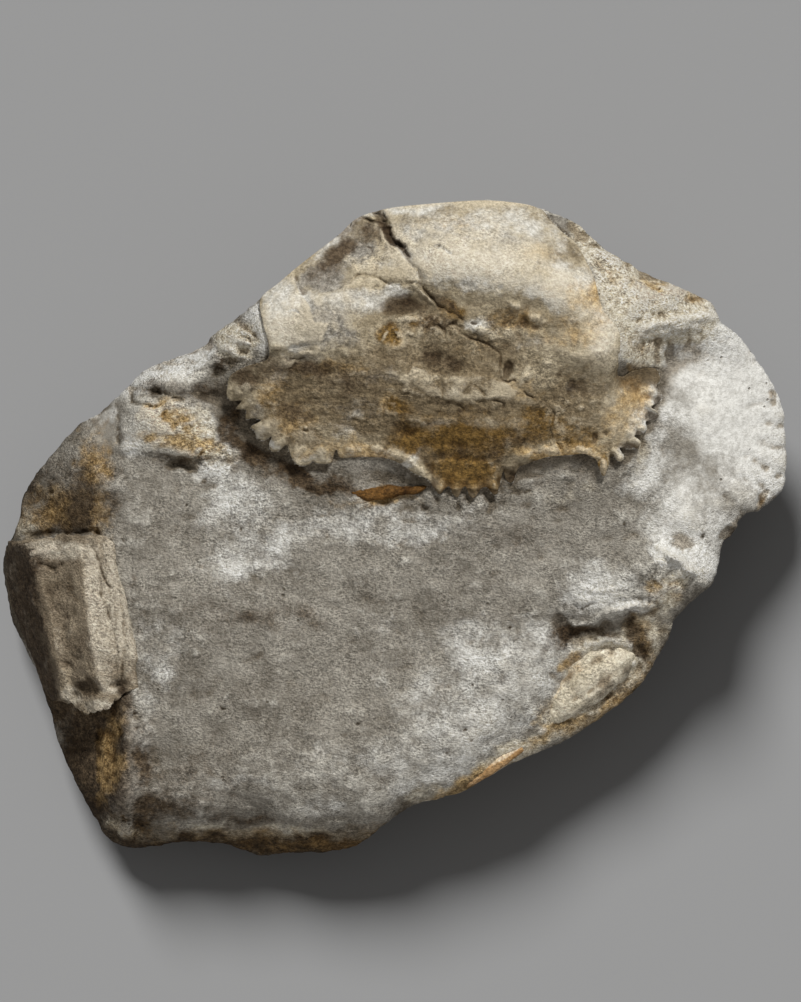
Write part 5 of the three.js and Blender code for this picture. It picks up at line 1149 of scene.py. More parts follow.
# Where the chalk comes up flush with the edge of the carapace.
FLUSH_CHALK = [
    (-3, 10.2, 8, 3, -4, 0.85), (27, 11, 8, 2.4, 0, 0.6), (-8, 10, 3, 2, 0, 0.8),
    (34.6, 38, 12, 3.4, -66, 1), (38.4, 28, 3, 5, 0, 1), (-22.6, 32.4, 3, 6, 6, 1),
    (-25.4, 25.4, 3, 2.4, 0, 0.7),
]
CHALK_STAINS = {
    # clean white chalk of the wing, ledges and worn field spots, and painted light at the cliff's foot
    "pale": [
        (-12, -46, 5, 2, 0, 0.5), (1, -44.6, 4, 2, 20, 0.4), (-26, -43, 7, 2, 0, 0.4),
        (-42.6, -38, 2.4, 7, 0, 0.35), (-31, 8.4, 3, 2, 0, 0.5), (-41, 24.6, 3, 2, 30, 0.7),
        (-55, -0.4, 4, 0.7, 4, 0.4), (37, 0.6, 5, 3, 0, 0.15), (-39, 26.4, 8, 3, 24, 0.6),
        (-20, 39, 4, 1.4, 45, 0.6), (-8, 50, 6, 1.2, 35, 0.8), (38, 40.6, 5, 2.6, -30, 0.6),
        (46.6, 37.6, 4, 1.6, -20, 0.6), (39.6, 29.6, 2.4, 2.6, 0, 0.6), (-10, 1.4, 22, 3.4, -2, 0.15),
        (41.5, 6, 5, 6, 0, 0.3), (46, 2, 5, 4, 0, 0.35), (39, 43, 4, 3, -30, 0.5),
        (40.8, 30, 2, 2.4, 0, 0.5), (49, -2.8, 4, 2.4, -35, 0.8), (-37.5, 27.6, 6, 2, 14, 0.9),
        (-49.4, 19, 3, 1.2, 40, 0.5), (54, 13, 3, 5, 0, 0.3), (-60, -1.6, 3, 0.8, 0, 0.4),
        (-3, -16, 7, 5, 0, 0.25), (-2, -25, 8, 4, 0, 0.2), (63.4, 21, 2, 6, 10, 0.8),
        (45.6, 26, 3.4, 3, 0, 0.4), (50.4, 27.4, 4, 4, 0, 0.5), (49, 6, 4, 4, 0, 0.4),
        (47.6, 21.6, 4, 5, 0, 0.5), (-22.4, 33, 2.2, 5, 6, 0.8), (18, -33.4, 5, 3, 35, 0.3),
        (10, -39.6, 6, 2.4, 30, 0.5), (4, -30, 6, 6, 0, 0.3), (54, -4, 3, 4, -20, 0.5),
        (-45.6, -47, 1.6, 1.4, 0, 0.6), (-41.4, 26.6, 4, 2, 30, 0.6), (59, 22, 8, 12, 0, 0.95),
        (60, 29, 5, 5, 0, 0.8), (54, 20, 6, 7, 0, 0.65), (62.4, 16, 3.4, 8, 0, 1), (62, 10, 5, 7, 0, 0.8),
        (46.6, 12, 5, 6, 0, 0.3), (52, 8, 6, 5, 0, 0.2), (57, 3, 3, 3, 0, 0.25),
        (43.4, 18, 2.4, 8, -14, 0.5), (56, 27, 5, 5, 0, 0.7), (40.8, 9, 3, 3, 0, 0.5),
        (54, 1, 3, 3, 0, 0.6), (-39, 27, 12, 2.6, 20, 1), (-29.7, 12.3, 4.7, 3, 0, 0.9),
        (52, 33, 6, 2, 20, 0.5), (-43.3, 14.8, 2.3, 3.7, 0, 0.6), (-30, 16.5, 3, 3.7, 0, 0.5),
        (43.3, 38.4, 10.5, 5.6, -22, 0.9), (37, 44.6, 6.4, 3.4, -38, 0.85), (32, 48.8, 3, 1.6, -40, 0.5),
        (-2, 0.5, 18, 4, 2, 0.4), (47, -4.6, 6, 2, -38, 1), (50, -4, 4, 3, -35, 0.85),
        (47, 0.5, 5, 3.4, -20, 0.6), (15, -25, 9, 13, 0, 0.5), (27.5, -22, 6, 8.3, 0, 0.5),
        (-28, 4.8, 8, 4.5, 0, 0.5), (34, -10.6, 8, 3.6, 5, 0.65), (31, -6, 4, 3, 0, 0.35),
        (-24, -5, 9, 6, 0, 0.55), (-40, -20, 6, 10, 0, 0.35), (-25.8, 33.6, 4.3, 3.7, 30, 0.5),
        (40.6, -12.4, 3.4, 0.9, 14, 0.8), (1, -38, 9, 6, 20, 0.45), (-14, -39, 8, 4, 0, 0.3),
        (9, -20, 8, 5, 0, 0.15), (35.4, -19.2, 5, 1.3, 6, 1), (43, 30.4, 5, 2.6, 18, 0.7),
        (47.5, 34.8, 6, 0.9, 10, 0.9), (54, 31, 2.6, 3, 0, 1),
    ],
    # cream and tan rock round the fossil pieces, where the chalk is harder
    "cream": [
        (-62, 0.6, 2.6, 3, 0, 0.7), (-44.6, -30, 2, 4, 0, 0.5), (43.3, 38.2, 11.5, 5.6, -22, 1),
        (36, 45.4, 8, 4, -40, 1), (38, 36, 5, 6, 0, 0.8), (41, 29.4, 5, 3, -20, 0.8),
        (48, 32.6, 5.6, 1.6, 20, 0.8), (-36, 17, 8, 4, 0, 0.8), (-31, 12.6, 6, 2.6, 0, 0.8),
        (-38, 23, 9, 2.4, 14, 0.35), (31, 49.4, 3, 3, 0, 0.6), (-46, -50.6, 3.4, 3, 0, 0.8),
        (-26.4, 31, 4, 4, 30, 0.9), (46.6, -10, 4, 3, 30, 0.8), (37, -19, 8, 3, 10, 0.7),
        (34, -27, 12, 5, 34, 1), (42, -18, 3.4, 6, -20, 0.8), (18, -39.4, 9, 2.4, 28, 0.9),
        (6, -45, 6, 2.4, 20, 0.5), (-20, -52, 22, 3, 0, 0.7), (40.5, 13, 2, 6, -18, 0.4),
        (28, 6.5, 9, 2, 0, 0.4), (-20, 14, 5, 4, -30, 0.4),
    ],
    # thin iron stain of the left chunks, the hollow and the lower rim
    "gold": [
        (-36.6, 14, 8, 1.7, -5, 0.75), (-56, 4, 6, 8, 30, 0.25), (-44, -41, 2, 8, 0, 0.25),
        (-60, 5, 4, 3, 30, 0.3), (-52, -30, 3, 4, -20, 0.4), (-52.6, 3, 5, 3, 0, 0.3),
        (-47.8, -35, 1.4, 4, 0, 0.35), (27, -33.6, 8, 1.6, 34, 0.7), (13, -42, 6, 2, 28, 0.7),
        (-36.6, 18, 4.4, 3.4, 0, 0.85), (-31, 14.4, 3, 1.2, -10, 0.7), (-41, 19, 3.4, 1.6, 20, 0.5),
        (-48.4, 6, 1.8, 6, -6, 0.3), (-58, 2, 4, 2, 10, 0.2), (-38, 24.6, 8, 1.6, 10, 0.25),
        (-48, -36, 1.3, 9, -5, 0.2), (-45.6, -50, 2.4, 3, 0, 0.5), (41.4, 39.6, 3, 3, 0, 0.6),
        (47, 38.8, 6, 1.6, -22, 0.6), (43.6, -9.4, 3, 2.4, 30, 0.5), (41, -15, 3, 2, 0, 0.5),
        (29, -22.6, 3, 1.6, 30, 0.6), (24, -31, 4, 2, 40, 0.4), (-22, -52.4, 16, 2.6, 0, 0.5),
        (-38, -53, 6, 1.6, 0, 0.5), (12, -43, 7, 1.2, 28, 0.5), (34, -32, 8, 1.6, 34, 0.5),
        (1, 5.2, 5, 1, 0, 0.5), (36.6, 43.6, 3, 2, -40, 0.4), (42, 30, 3, 2, 0, 0.3),
        (40, 26.8, 2, 1, 0, 0.5),
    ],
    # clay on the weathered sides, along the cracks and under the crab's edge
    "brown": [
        (-58, 8.6, 6, 5, 40, 0.5), (-54, 2.6, 6.4, 3.4, 10, 0.9), (-51, 9, 4, 4, 30, 0.5),
        (-61.4, 1.5, 4, 4.3, 0, 0.3), (-52.8, -40.2, 4.9, 17, -16, 1), (-56.8, -28.5, 3.6, 7, -20, 1),
        (-27.4, 18.4, 1.8, 6, -14, 0.7), (-24.4, 12.6, 5.8, 1.9, -42, 0.8), (-16, 8.6, 5, 1.5, -14, 0.7),
        (-9, 7.2, 4, 1, -3, 0.4), (-47.6, -38, 4.8, 12.5, -4, 1), (-21, -15.4, 11, 4, 0, 0.3),
        (28.4, -18.4, 4.4, 2.2, 10, 0.75), (27, -15.4, 1.4, 1.6, 30, 0.35), (-42, -10, 1.2, 6, 5, 0.4),
        (-12, 8.6, 6, 1.9, -6, 0.85), (-36, 13.6, 3.4, 0.9, 0, 0.6), (-49.6, 7.4, 2.6, 2.6, 0, 0.4),
        (-40, 20.8, 6, 1.2, 6, 0.4), (33.6, -17.4, 6, 1, 6, 0.4), (41.6, -17.8, 1.8, 4.4, 8, 0.95),
        (-32, -38, 6, 3, 0, 0.35), (-44.5, -47.5, 5, 3.4, 0, 0.35), (-38, -47, 8, 2.6, 4, 0.5),
        (-33, 11.6, 8, 1, 0, 0.7), (-36, 23.2, 8.6, 1.9, -3, 0.65), (-28.4, 27.4, 2.7, 2, 0, 0.6),
        (-32.5, -53.4, 20, 2.4, 0, 0.8), (-10.8, -53, 12, 2.6, 0, 0.75), (43.3, -21, 3.3, 8.3, -28, 0.45),
        (32.5, -31, 11.7, 2.2, 28, 0.5), (35, -16.6, 8.7, 1.8, 8, 0.3), (12.5, -42.6, 6, 1.2, 28, 0.6),
        (53.4, -8, 2, 3.4, -30, 0.25), (45.6, -8.4, 3.6, 1.2, -36, 0.2), (-46.2, 4.8, 2, 8.3, 0, 0.4),
        (-45, -28.5, 1.7, 2.3, 0, 0.8), (-44.2, -50.2, 3.3, 3.3, 0, 0.25), (25, 9.8, 9, 2, -3, 0.3),
        (32.5, 8.5, 3.3, 2, 0, 0.3), (-34, -44, 14, 6, -4, 0.35), (-25, -48.8, 9, 1.4, 0, 0.4),
        (-42, -38, 4, 12, -10, 0.25), (40.4, 12, 1.4, 6, -18, 0.3), (20, -0.8, 10, 3, -4, 0.4),
        (39, 28.4, 1.8, 2.2, 0, 0.25), (-32, -13.6, 9, 2.6, -12, 0.3), (-16, -14, 6, 2, -12, 0.3),
    ],
    # strong iron stain
    "ochre": [
        (-36.4, 17.4, 4.4, 3, 0, 0.4), (-39.4, 19, 5, 2, 10, 0.2), (-31.7, 12.3, 5, 1.7, 0, 0.2),
        (46.2, 39.3, 5.7, 2.2, -18, 0.35), (49.8, 36.4, 3, 1.4, -10, 0.15), (39, 41.4, 6, 3.4, -40, 0.3),
        (-51, 14.6, 3, 4, 30, 0.4), (-57.6, 1.6, 4.5, 1.6, 0, 0.35), (-51, 9.4, 3.4, 4, 30, 0.5),
        (-47.5, 16.5, 2, 5, 0, 0.25), (-47.5, -37.5, 2, 10, -6, 0.8), (44.6, -10.2, 4.4, 2.2, 30, 0.5),
        (-15.8, -53, 18.3, 1.7, 0, 0.5), (-48.6, 7, 2.4, 7, -10, 0.35), (-48.4, 1, 3, 3, 0, 0.4),
        (-5, -51, 5, 2, 20, 0.35), (-25.8, 32.3, 5, 4.3, 30, 0.3), (63.3, 22.8, 1, 2, 0, 0.6),
        (61.5, 4.8, 1.5, 1.5, 0, 0.5), (57.2, 0.3, 1.7, 2.3, 0, 0.4), (-6.7, 4.8, 6.7, 1.3, 0, 0.3),
        (-59, 3, 6, 5, 40, 0.35), (41.4, 32, 4.4, 1.8, 10, 0.35), (38, -28, 9, 2.6, 40, 0.5),
        (43, -17, 2, 5, 0, 0.4), (-1, 5.6, 5.4, 1.5, 3, 0.8), (48, -11, 3, 2, 30, 0.4),
        (-41, -50, 5, 3, 0, 0.3),
    ],
}
# How much of each stain the sides have, and how far that comes and goes along them.
SIDE_STAINS = {
    "pale": (0, 0),
    "cream": (0.4, 0.6),
    "gold": (0, -0.5),
    "brown": (0.65, 0.7),
    "ochre": (0, 0.5),
}
# How uneven the top is, in mm, by kind of surface.
CHALK_LINE_STRAY = 0.4
CHALK_SWELL = 0.45
FIELD_GRAIN = 0.28
ROUGH_CHALK_GRAIN = 0.36
STRIPE_HEIGHT = 0.4
CHALK_STAIN_STRAY = 1.6
# The bed under the shell, and the chalk beside it.
BED_GAP = 0.3
FLUSH_REACH = 2.2
FLUSH_STEP = 0.1
TUCK = 0.6
BED_HIDDEN = 2.4
# The rim is rounded over, and the side slopes in to a smaller base.
SHOULDER = 1.3
SHOULDER_WIDTH = 0.7
SIDE_LEVELS = 20
BASE_INSET = 0.14
BELLY_INSET = 0.018
SIDE_LUMPS = 0.017
SIDE_EVENED = 7
PATCH_LUMPS = 12


def edge_distance(outline, x, y, reach):
    """How far each place inside an outline is from it, up to about a reach."""
    distance = np.full(x.shape, float(reach))
    for px, py in outline:
        at = near_line([(px, py)], reach, x, y)
        distance[at] = np.minimum(distance[at], np.hypot(x[at] - px, y[at] - py))
    return distance


def evened(values, reach):
    """A closed row of values, each averaged with its neighbours up to a reach on both sides."""
    return sum(np.roll(values, step) for step in range(-reach, reach + 1)) / (2 * reach + 1)


def side_rings(x, y, z, loop):
    """The block's side, as rings that follow the ragged rim less and less on the way down to the base."""
    px, py, rim = x.ravel()[loop], y.ravel()[loop], z.ravel()[loop]
    even_x, even_y, even_rim = [evened(values, SIDE_EVENED) for values in (px, py, rim)]
    rings = []
    for level in range(1, SIDE_LEVELS + 1):
        depth = level / SIDE_LEVELS
        ragged = 0.6**level
        ring_x, ring_y = even_x + ragged * (px - even_x), even_y + ragged * (py - even_y)
        height = (even_rim + ragged * (rim - even_rim)) * (1 - depth)
        inset = BASE_INSET * depth**2.2 + BELLY_INSET * math.sin(math.pi * depth)
        lumps = noise_at(np.stack([ring_x / 7, ring_y / 7, height / 5], 1), octaves=5, fall=0.6)
        push = 1 - inset + SIDE_LUMPS * (lumps - 0.7) * min(1, 6 * depth)
        rings.append(np.stack([ring_x * push, ring_y * push, height], 1))
    return rings


even_line = round_outline(BLOCK_RIM, RIM_STEP)
ragged = []
for seed in (81.5, 91.5):
    places = np.column_stack([even_line / RIM_LUMPS, np.full(len(even_line), seed)])
    ragged.append(noise_at(places, octaves=4))
rim_line = even_line + RIM_RAGGED * np.stack(ragged, 1)
chalk_x, chalk_y, chalk_cells = cut_grid(rim_line, CHALK_CELL)
chalk_loop = np.array(loop_of(chalk_cells))
pull_to(rim_line, chalk_x, chalk_y, chalk_loop)
chalk_z = sheet_through(CHALK_SPOTS, chalk_x, chalk_y)
fold_x, fold_y = strayed(chalk_x, chalk_y, CHALK_LINE_STRAY, size=2.2, octaves=4, seeds=(21.5, 33.5))
broken = rough(chalk_x, chalk_y, size=1.6, octaves=3, seed=45.5)
add_ridges(chalk_z, fold_x, fold_y, CHALK_RIDGES, 0.3 * broken)
add_ledges(chalk_z, fold_x, fold_y, CHALK_LEDGES)
add_ridges(chalk_z, fold_x, fold_y, CHALK_FOLDS, broken)
add_pits(chalk_z, fold_x, fold_y, CHALK_PITS)
rough_here = patches(ROUGH_CHALK, chalk_x, chalk_y)
smooth_here = patches(SMOOTH_CHALK, chalk_x, chalk_y)
swell = rough(chalk_x, chalk_y, size=11, octaves=5, seed=1.5)
chalk_z += (1 - 0.6 * smooth_here) * CHALK_SWELL * swell
field_grain = rough(chalk_x, chalk_y, size=2.4, octaves=6, seed=7.5, stretch=1.8, turn=-8)
chalk_z += (1 - 0.8 * smooth_here) * (FIELD_GRAIN + ROUGH_CHALK_GRAIN * rough_here) * field_grain
stripes = rough(chalk_x, chalk_y, size=1.3, octaves=4, seed=11.5, stretch=4, turn=-20)
chalk_z += STRIPE_HEIGHT * patches(STRIPED_CHALK, chalk_x, chalk_y) * stripes
flutes = rough(chalk_x, chalk_y, size=1, octaves=4, seed=15.5, stretch=4, turn=80)
chalk_z += STRIPE_HEIGHT * patches(FLUTED_CHALK, chalk_x, chalk_y) * flutes

# The bed: under the shell the chalk follows the shell's underside, and laps up to its edge all round.
bed = is_inside(shell_line, chalk_x, chalk_y)
edge_gap = nearest_on(closed(SHELL_EDGE), chalk_x, chalk_y)[0]
flush = patches(FLUSH_CHALK, chalk_x, chalk_y) * np.exp(-((edge_gap / FLUSH_REACH) ** 2))
beside = bed | (flush > 0.02)
shell_top = np.full(chalk_x.shape, np.inf)
shell_top[beside] = shell_height(chalk_x[beside], chalk_y[beside])
ground = chalk_z.copy()
ground[beside] += flush[beside] * (shell_top[beside] - FLUSH_STEP - chalk_z[beside])
# The chalk's hollows, read with the shell's top in place, take painted shade, which darkens the chalk along
# the shell's edge.
chalk_shade_mask, chalk_wear_and_highlight = highs_and_lows(np.where(bed, shell_top, ground), CHALK_CELL)
under_edge = np.minimum(ground, shell_top - TUCK)
in_bed = np.where(edge_gap < TUCK, under_edge, shell_top - SHELL_THICKNESS - BED_GAP)
rim_gap = edge_distance(rim_line, chalk_x, chalk_y, 4)
chalk_z = np.where(bed, in_bed, ground - SHOULDER * np.exp(-rim_gap / SHOULDER_WIDTH))

rings = side_rings(chalk_x, chalk_y, chalk_z, chalk_loop)
side_places = np.concatenate(rings)
chalk_vertices = np.concatenate([rows_of(chalk_x, chalk_y, chalk_z), side_places])
hidden_cells = (bed & (edge_gap > BED_HIDDEN)).ravel()[chalk_cells].all(1)
chalk_faces = coarsened(chalk_cells, chalk_x.shape[1], hidden_cells)
upper = chalk_loop
for ring in range(SIDE_LEVELS):
    lower = np.arange(len(chalk_loop)) + chalk_x.size + ring * len(chalk_loop)
    chalk_faces += ring_faces(upper, lower)
    upper = lower
chalk_faces.append(upper[::-1])

side_patchy = noise_at(side_places / PATCH_LUMPS, octaves=5)
side_depth = np.repeat(np.arange(1, SIDE_LEVELS + 1), len(chalk_loop)) / 4


def with_side(values, side_value, patchy=0.0):
    """A layer for the top, carried on over the side, where it comes and goes by as much as patchy."""
    rim_value = np.tile(values.ravel()[chalk_loop], SIDE_LEVELS)
    below = np.clip(side_value + patchy * side_patchy, 0, 1)
    return np.concatenate([values.ravel(), below + np.exp(-side_depth) * (rim_value - below)])


# The crests take no wear or painted highlight where the brown stain lies.
chalk_wear_and_highlight *= 1 - 0.85 * patches(CHALK_STAINS["brown"], chalk_x, chalk_y)
chalk_layers = {
    "hollow": with_side(chalk_shade_mask, 0, 0.6),
    "crest": with_side(chalk_wear_and_highlight, 0, -0.6),
    "gritty": with_side(np.clip(0.7 + 0.3 * rough_here - 0.7 * smooth_here, 0, 1), 0.7),
}
stain_x, stain_y = strayed(chalk_x, chalk_y, CHALK_STAIN_STRAY, size=6, octaves=4, seeds=(61.5, 71.5))
for layer, places in CHALK_STAINS.items():
    side_value, patchy = SIDE_STAINS[layer]
    chalk_layers[layer] = with_side(patches(places, stain_x, stain_y), side_value, patchy)

BROWN_STAIN = ("brown", paint(42, 31, 19), paint(94, 78, 58), 3.5)
chalk_stone = weathered(
    "chalk",
    dark=paint(112, 106, 96),
    light=paint(156, 151, 141),
    stains=[
        ("pale", paint(194, 192, 186), paint(236, 235, 230), 5),
        ("cream", paint(166, 154, 131), paint(232, 225, 207), 3),
        ("gold", paint(126, 102, 64), paint(206, 178, 130), 3),
        BROWN_STAIN,
        ("ochre", paint(96, 72, 38), paint(180, 152, 106), 3),
    ],
    dirt_and_shade=paint(150, 134, 110),
    worn=paint(210, 206, 196),
    bump=0.5,
    roughness=0.9,
    pits=1.0,
)
chalk_block = make_piece("chalk_block", chalk_vertices, chalk_faces, chalk_layers, chalk_stone)
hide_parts("matrix")
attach(chalk_block, "root")


# --------------------------------------------------------------------------------------------------------
# The claw segment, a broken length of a big hollow limb, filled and turned to stone. It has a dark outer
# face, a rough one, a smooth cream one and a strip of fine ridges, and lies bedded along the left side.
# Lines along its corners, from the upper end to the lower: (x, y, z) in mm.
CLAW_LINES = [
    [(-66, -2.6, 8), (-65.4, -12, 7.6), (-62.2, -20, 7.8), (-58.6, -28.6, 8.4)],
    [(-62.2, -2.8, 18), (-59, -12, 18.8), (-57.6, -20, 18.6), (-55.6, -28.2, 16.4)],
    [(-57.6, -1.4, 20), (-56, -12, 19.8), (-54.8, -20, 19.2), (-53.4, -30, 16.4)],
    [(-52.4, -1, 24), (-51.6, -12, 23.9), (-50.7, -20, 23.4), (-49.8, -30.8, 20.4)],
    [(-50.2, -1.6, 24), (-49, -12, 24), (-47.6, -20, 23.6), (-47.4, -29.8, 20.8)],
    [(-49.4, -1.7, 23), (-48.2, -12, 23.1), (-46.7, -20, 22.8), (-45.6, -27.4, 21.6)],
    [(-48.4, -1.9, 23.7), (-46.8, -12, 23.9), (-45.2, -20, 23.6), (-44.4, -27, 22)],
    [(-46.8, -2.4, 23.1), (-44.8, -12, 23.3), (-43.2, -20, 23.1), (-42.8, -26.4, 21.8)],
    [(-47.6, -3, 15), (-45.8, -12, 15), (-44.4, -20, 15), (-43.8, -26, 15.4)],
    [(-54, -3.6, 9.6), (-53.4, -12, 9.2), (-51.8, -20, 9.4), (-50, -27, 11)],
    [(-60.4, -3.2, 5.4), (-60.2, -12, 5), (-57.8, -20, 5.4), (-55, -27.6, 7)],
]
# Lines on its top, as in SHELL_RIDGES.
CLAW_MARKS = [
    # cracks of the smooth face, and the strip of fine ridges beyond it
    (0.25, [(-50.4, -2.2, -0.7), (-49.4, -5.4, -0.8), (-48.2, -8.6, -0.8), (-47.2, -10, -0.6)]),
    (0.22, [(-49.2, -8.6, -0.5), (-48.6, -12, -0.7), (-47.4, -15, -0.6)]),
    (0.25, [(-46.2, -8, -0.3), (-45.4, -14, -0.6), (-45, -20, -0.6), (-45.6, -25, -0.4)]),
    (0.25, [(-47.6, -3.4, 0.4), (-46, -8, 0.6), (-44.6, -14, 0.5), (-44, -21, 0.4)]),
    (0.22, [(-48.6, -2.8, 0.3), (-47, -7, 0.5), (-45.8, -12, 0.4)]),
    (0.22, [(-46.6, -16, 0.3), (-45.8, -20, 0.5), (-46, -25, 0.4)]),
    # ridge between the dark face and the rough one
    (0.45, [(-60.4, -4.4, 0.2), (-58.6, -10, 0.2), (-57, -17, 0.2), (-56, -22, 0.3), (-55, -27, 0.5)]),
    # edge of the smooth face
    (0.35, [(-52.2, -3, 0.2), (-51.8, -9, 0.4), (-51, -15, 0.4), (-50, -22, 0.4)]),
    (0.8, [(-54.6, -6, -0.15), (-53.8, -13, -0.2), (-52.6, -21, -0.2)]),
    # chips of the rough upper end
    (0.5, [(-60.6, -4, 0.5), (-57, -3.6, 0.4), (-53.6, -3.2, 0.5)]),
    (0.4, [(-59.4, -5.6, -0.6), (-56.8, -6.6, -0.6), (-54.8, -5.2, -0.5)]),
    # hollows of the broken lower end
    (0.9, [(-52.4, -26.4, -1), (-50.4, -26.8, -1)]),
    (0.8, [(-47, -25.8, -1), (-45.2, -26, -1)]),
    (0.5, [(-49.4, -24.6, 0.5), (-48.6, -26.6, 0.6)]),
]
CLAW_STAINS = {
    # the outer face, and painted shade in the hollows of the lower end
    "brown": [
        (-60.8, -5, 2.2, 3, 10, 0.7), (-62.4, -11, 3.3, 12, 12, 1), (-59.4, -24, 2.4, 8, 16, 1),
        (-54.4, -13, 2, 9, 4, 0.3), (-52.4, -26, 1.8, 0.9, -10, 0.5), (-45.4, -27, 1.2, 1.2, 0, 0.8),
    ],
    # the smooth face, the strip beside it and both broken ends
    "pale": [
        (-50, -10, 1.8, 9, 6, 0.9), (-48.6, -20, 2.4, 7, 4, 0.8), (-56, -20, 0.9, 8, 10, 0.3),
        (-57, -3.2, 6.4, 1.4, 0, 0.9), (-45.8, -12, 2.6, 13, 8, 0.95), (-54, -28, 2, 1.6, -20, 1),
        (-49.4, -29.8, 2.6, 1.6, 0, 1), (-57, -4, 6, 1.4, 0, 0.6), (-62, -5, 2, 2, 0, 0.4),
        (-47.6, -26.4, 1.6, 1.2, 0, 0.8),
    ],
}
CLAW_RINGS = 110
CLAW_POINTS = 160
LIMB_GRITTY = 0.75
TORN_RINGS = 16
CAP_RINGS = 6
CAP_MIDDLE = 0.06


def resample(rows, count):
    """An open line of points as this many, evenly spaced along it."""
    rows = np.array(rows, float)
    run = np.append(0, np.cumsum(np.linalg.norm(np.diff(rows, axis=0), axis=1)))
    places = np.linspace(0, run[-1], count)
    return np.stack([np.interp(places, run, column) for column in rows.T], 1)


def torn_end(rings, torn):
    """Draws the first rings of a limb out unevenly, and gives the rings that close its broken face."""
    end = rings[0]
    middle = end.mean(0)
    outward = middle - rings[4].mean(0)
    outward /= np.linalg.norm(outward)
    uneven = noise_at(end / 2.5, octaves=4, fall=0.8)
    for step in range(TORN_RINGS):
        rings[step] += outward * (torn * uneven * (1 - step / TORN_RINGS))[:, None]
    face = []
    for share in np.linspace(1, CAP_MIDDLE, CAP_RINGS)[1:]:
        ring = middle + (end - middle) * share + outward * torn * (1 - share)
        dents = noise_at(ring / 2, octaves=4, fall=0.8)
        face.append(ring + outward * (0.6 * torn * dents)[:, None])
    return face


def limb(name, rings, stains, stone, marks=(), lumps=0.0, torn=0.0):
    """A closed limb through rings of points in mm, roughened by its lumps and torn at its ends, in mm."""
    rings = np.array(rings)
    first_face = torn_end(rings, torn)
    last_face = torn_end(rings[::-1], torn)
    rings = np.concatenate([first_face[::-1], rings, last_face])
    ring_count, count = rings.shape[:2]
    points = rings.reshape(-1, 3)
    out = points - np.repeat(rings.mean(1), count, axis=0)
    out /= np.linalg.norm(out, axis=1)[:, None] + 1e-6
    wave = noise_at(points / 3.5, octaves=6, fall=0.9)
    points = points + out * (wave * lumps)[:, None]

    top = out[:, 2] > 0.05
    stray = noise_at(points[top] / 1.6, octaves=3, fall=0.8)
    marked = np.zeros(top.sum())
    add_ridges(marked, points[top, 0] + 0.25 * stray, points[top, 1] + 0.25 * stray, marks, 0.5 * stray)
    cut = np.zeros(len(points))
    cut[top] = marked
    points[:, 2] += cut

    first_ring = np.arange(count)
    faces = []
    for number in range(ring_count - 1):
        faces += ring_faces(first_ring + number * count, first_ring + (number + 1) * count)
    faces += [first_ring, (first_ring + (ring_count - 1) * count)[::-1]]
    # The dents and cut lines take painted shade, the lumps and raised lines wear and a painted highlight.
    layers = {
        "hollow": np.clip(-wave - 1.6 * cut, 0, 1.2),
        "crest": np.clip(0.6 * wave + 1.2 * cut, 0, 1),
        "gritty": np.full(len(points), LIMB_GRITTY),
    }
    for layer, places in stains.items():
        layers[layer] = patches(places, points[:, 0], points[:, 1])
    return make_piece(name, points, faces, layers, stone)


claw_lines = [resample(line, CLAW_RINGS) for line in CLAW_LINES]
claw_rings = []
for corners in zip(*claw_lines):
    ring = resample(corners + corners[:1], CLAW_POINTS + 1)[:-1]
    for _ in range(3):
        ring = (np.roll(ring, 1, 0) + 2 * ring + np.roll(ring, -1, 0)) / 4
    claw_rings.append(ring)
claw_stone = weathered(
    "claw_shell",
    dark=paint(112, 99, 82),
    light=paint(158, 145, 124),
    stains=[
        ("pale", paint(164, 153, 135), paint(204, 195, 178), 3),
        ("brown", paint(52, 42, 32), paint(92, 78, 62), 4),
    ],
    dirt_and_shade=paint(120, 104, 84),
    worn=paint(200, 190, 172),
    bump=0.55,
    roughness=0.85,
    pits=0.4,
)
claw_segment = limb("claw_segment", claw_rings, CLAW_STAINS, claw_stone, CLAW_MARKS, lumps=0.5, torn=1.1)
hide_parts("left_claw_segment")
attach(claw_segment, "root")


# --------------------------------------------------------------------------------------------------------
# The leg segment, a rounded length of leg turned to stone, cream with a little rust. It lies in the hollow
# at the lower right, half sunk in the chalk.
# (x, y, z, half width, half height) in mm along its middle.
LEG_STATIONS = [
    (40.2, -20.4, 15.8, 1.2, 1), (38, -21.2, 16.2, 2.9, 2.4), (34.4, -23.2, 16.4, 4.1, 3),
    (30.5, -26, 16.2, 4.3, 2.8), (27.2, -29.2, 15.8, 3.5, 2.4), (24.6, -32.4, 15.2, 1.4, 1.2),
]
LEG_MARKS = [
    (0.6, [(28, -25, -0.4), (31, -23.4, -0.5), (34, -21.6, -0.3)]),
    (0.5, [(26.6, -28, 0.3), (30, -25.6, 0.4), (33, -23.6, 0.2)]),
    (0.4, [(29, -29, -0.4), (33, -26.8, -0.5), (37, -24, -0.3)]),
    (0.3, [(25.4, -30, 0.3), (26.6, -31.4, 0.4)]),
]
LEG_STAINS = {
    "ochre": [(29.6, -24, 3.5, 1.4, 36, 0.4), (26.4, -28, 3, 1.4, 45, 0.35)],
    "brown": [(35, -27, 5, 0.8, 40, 0.5), (38.8, -22.8, 1.2, 1.6, 0, 0.5)],
}
RING_SPACING = 0.25
RING_POINTS = 48


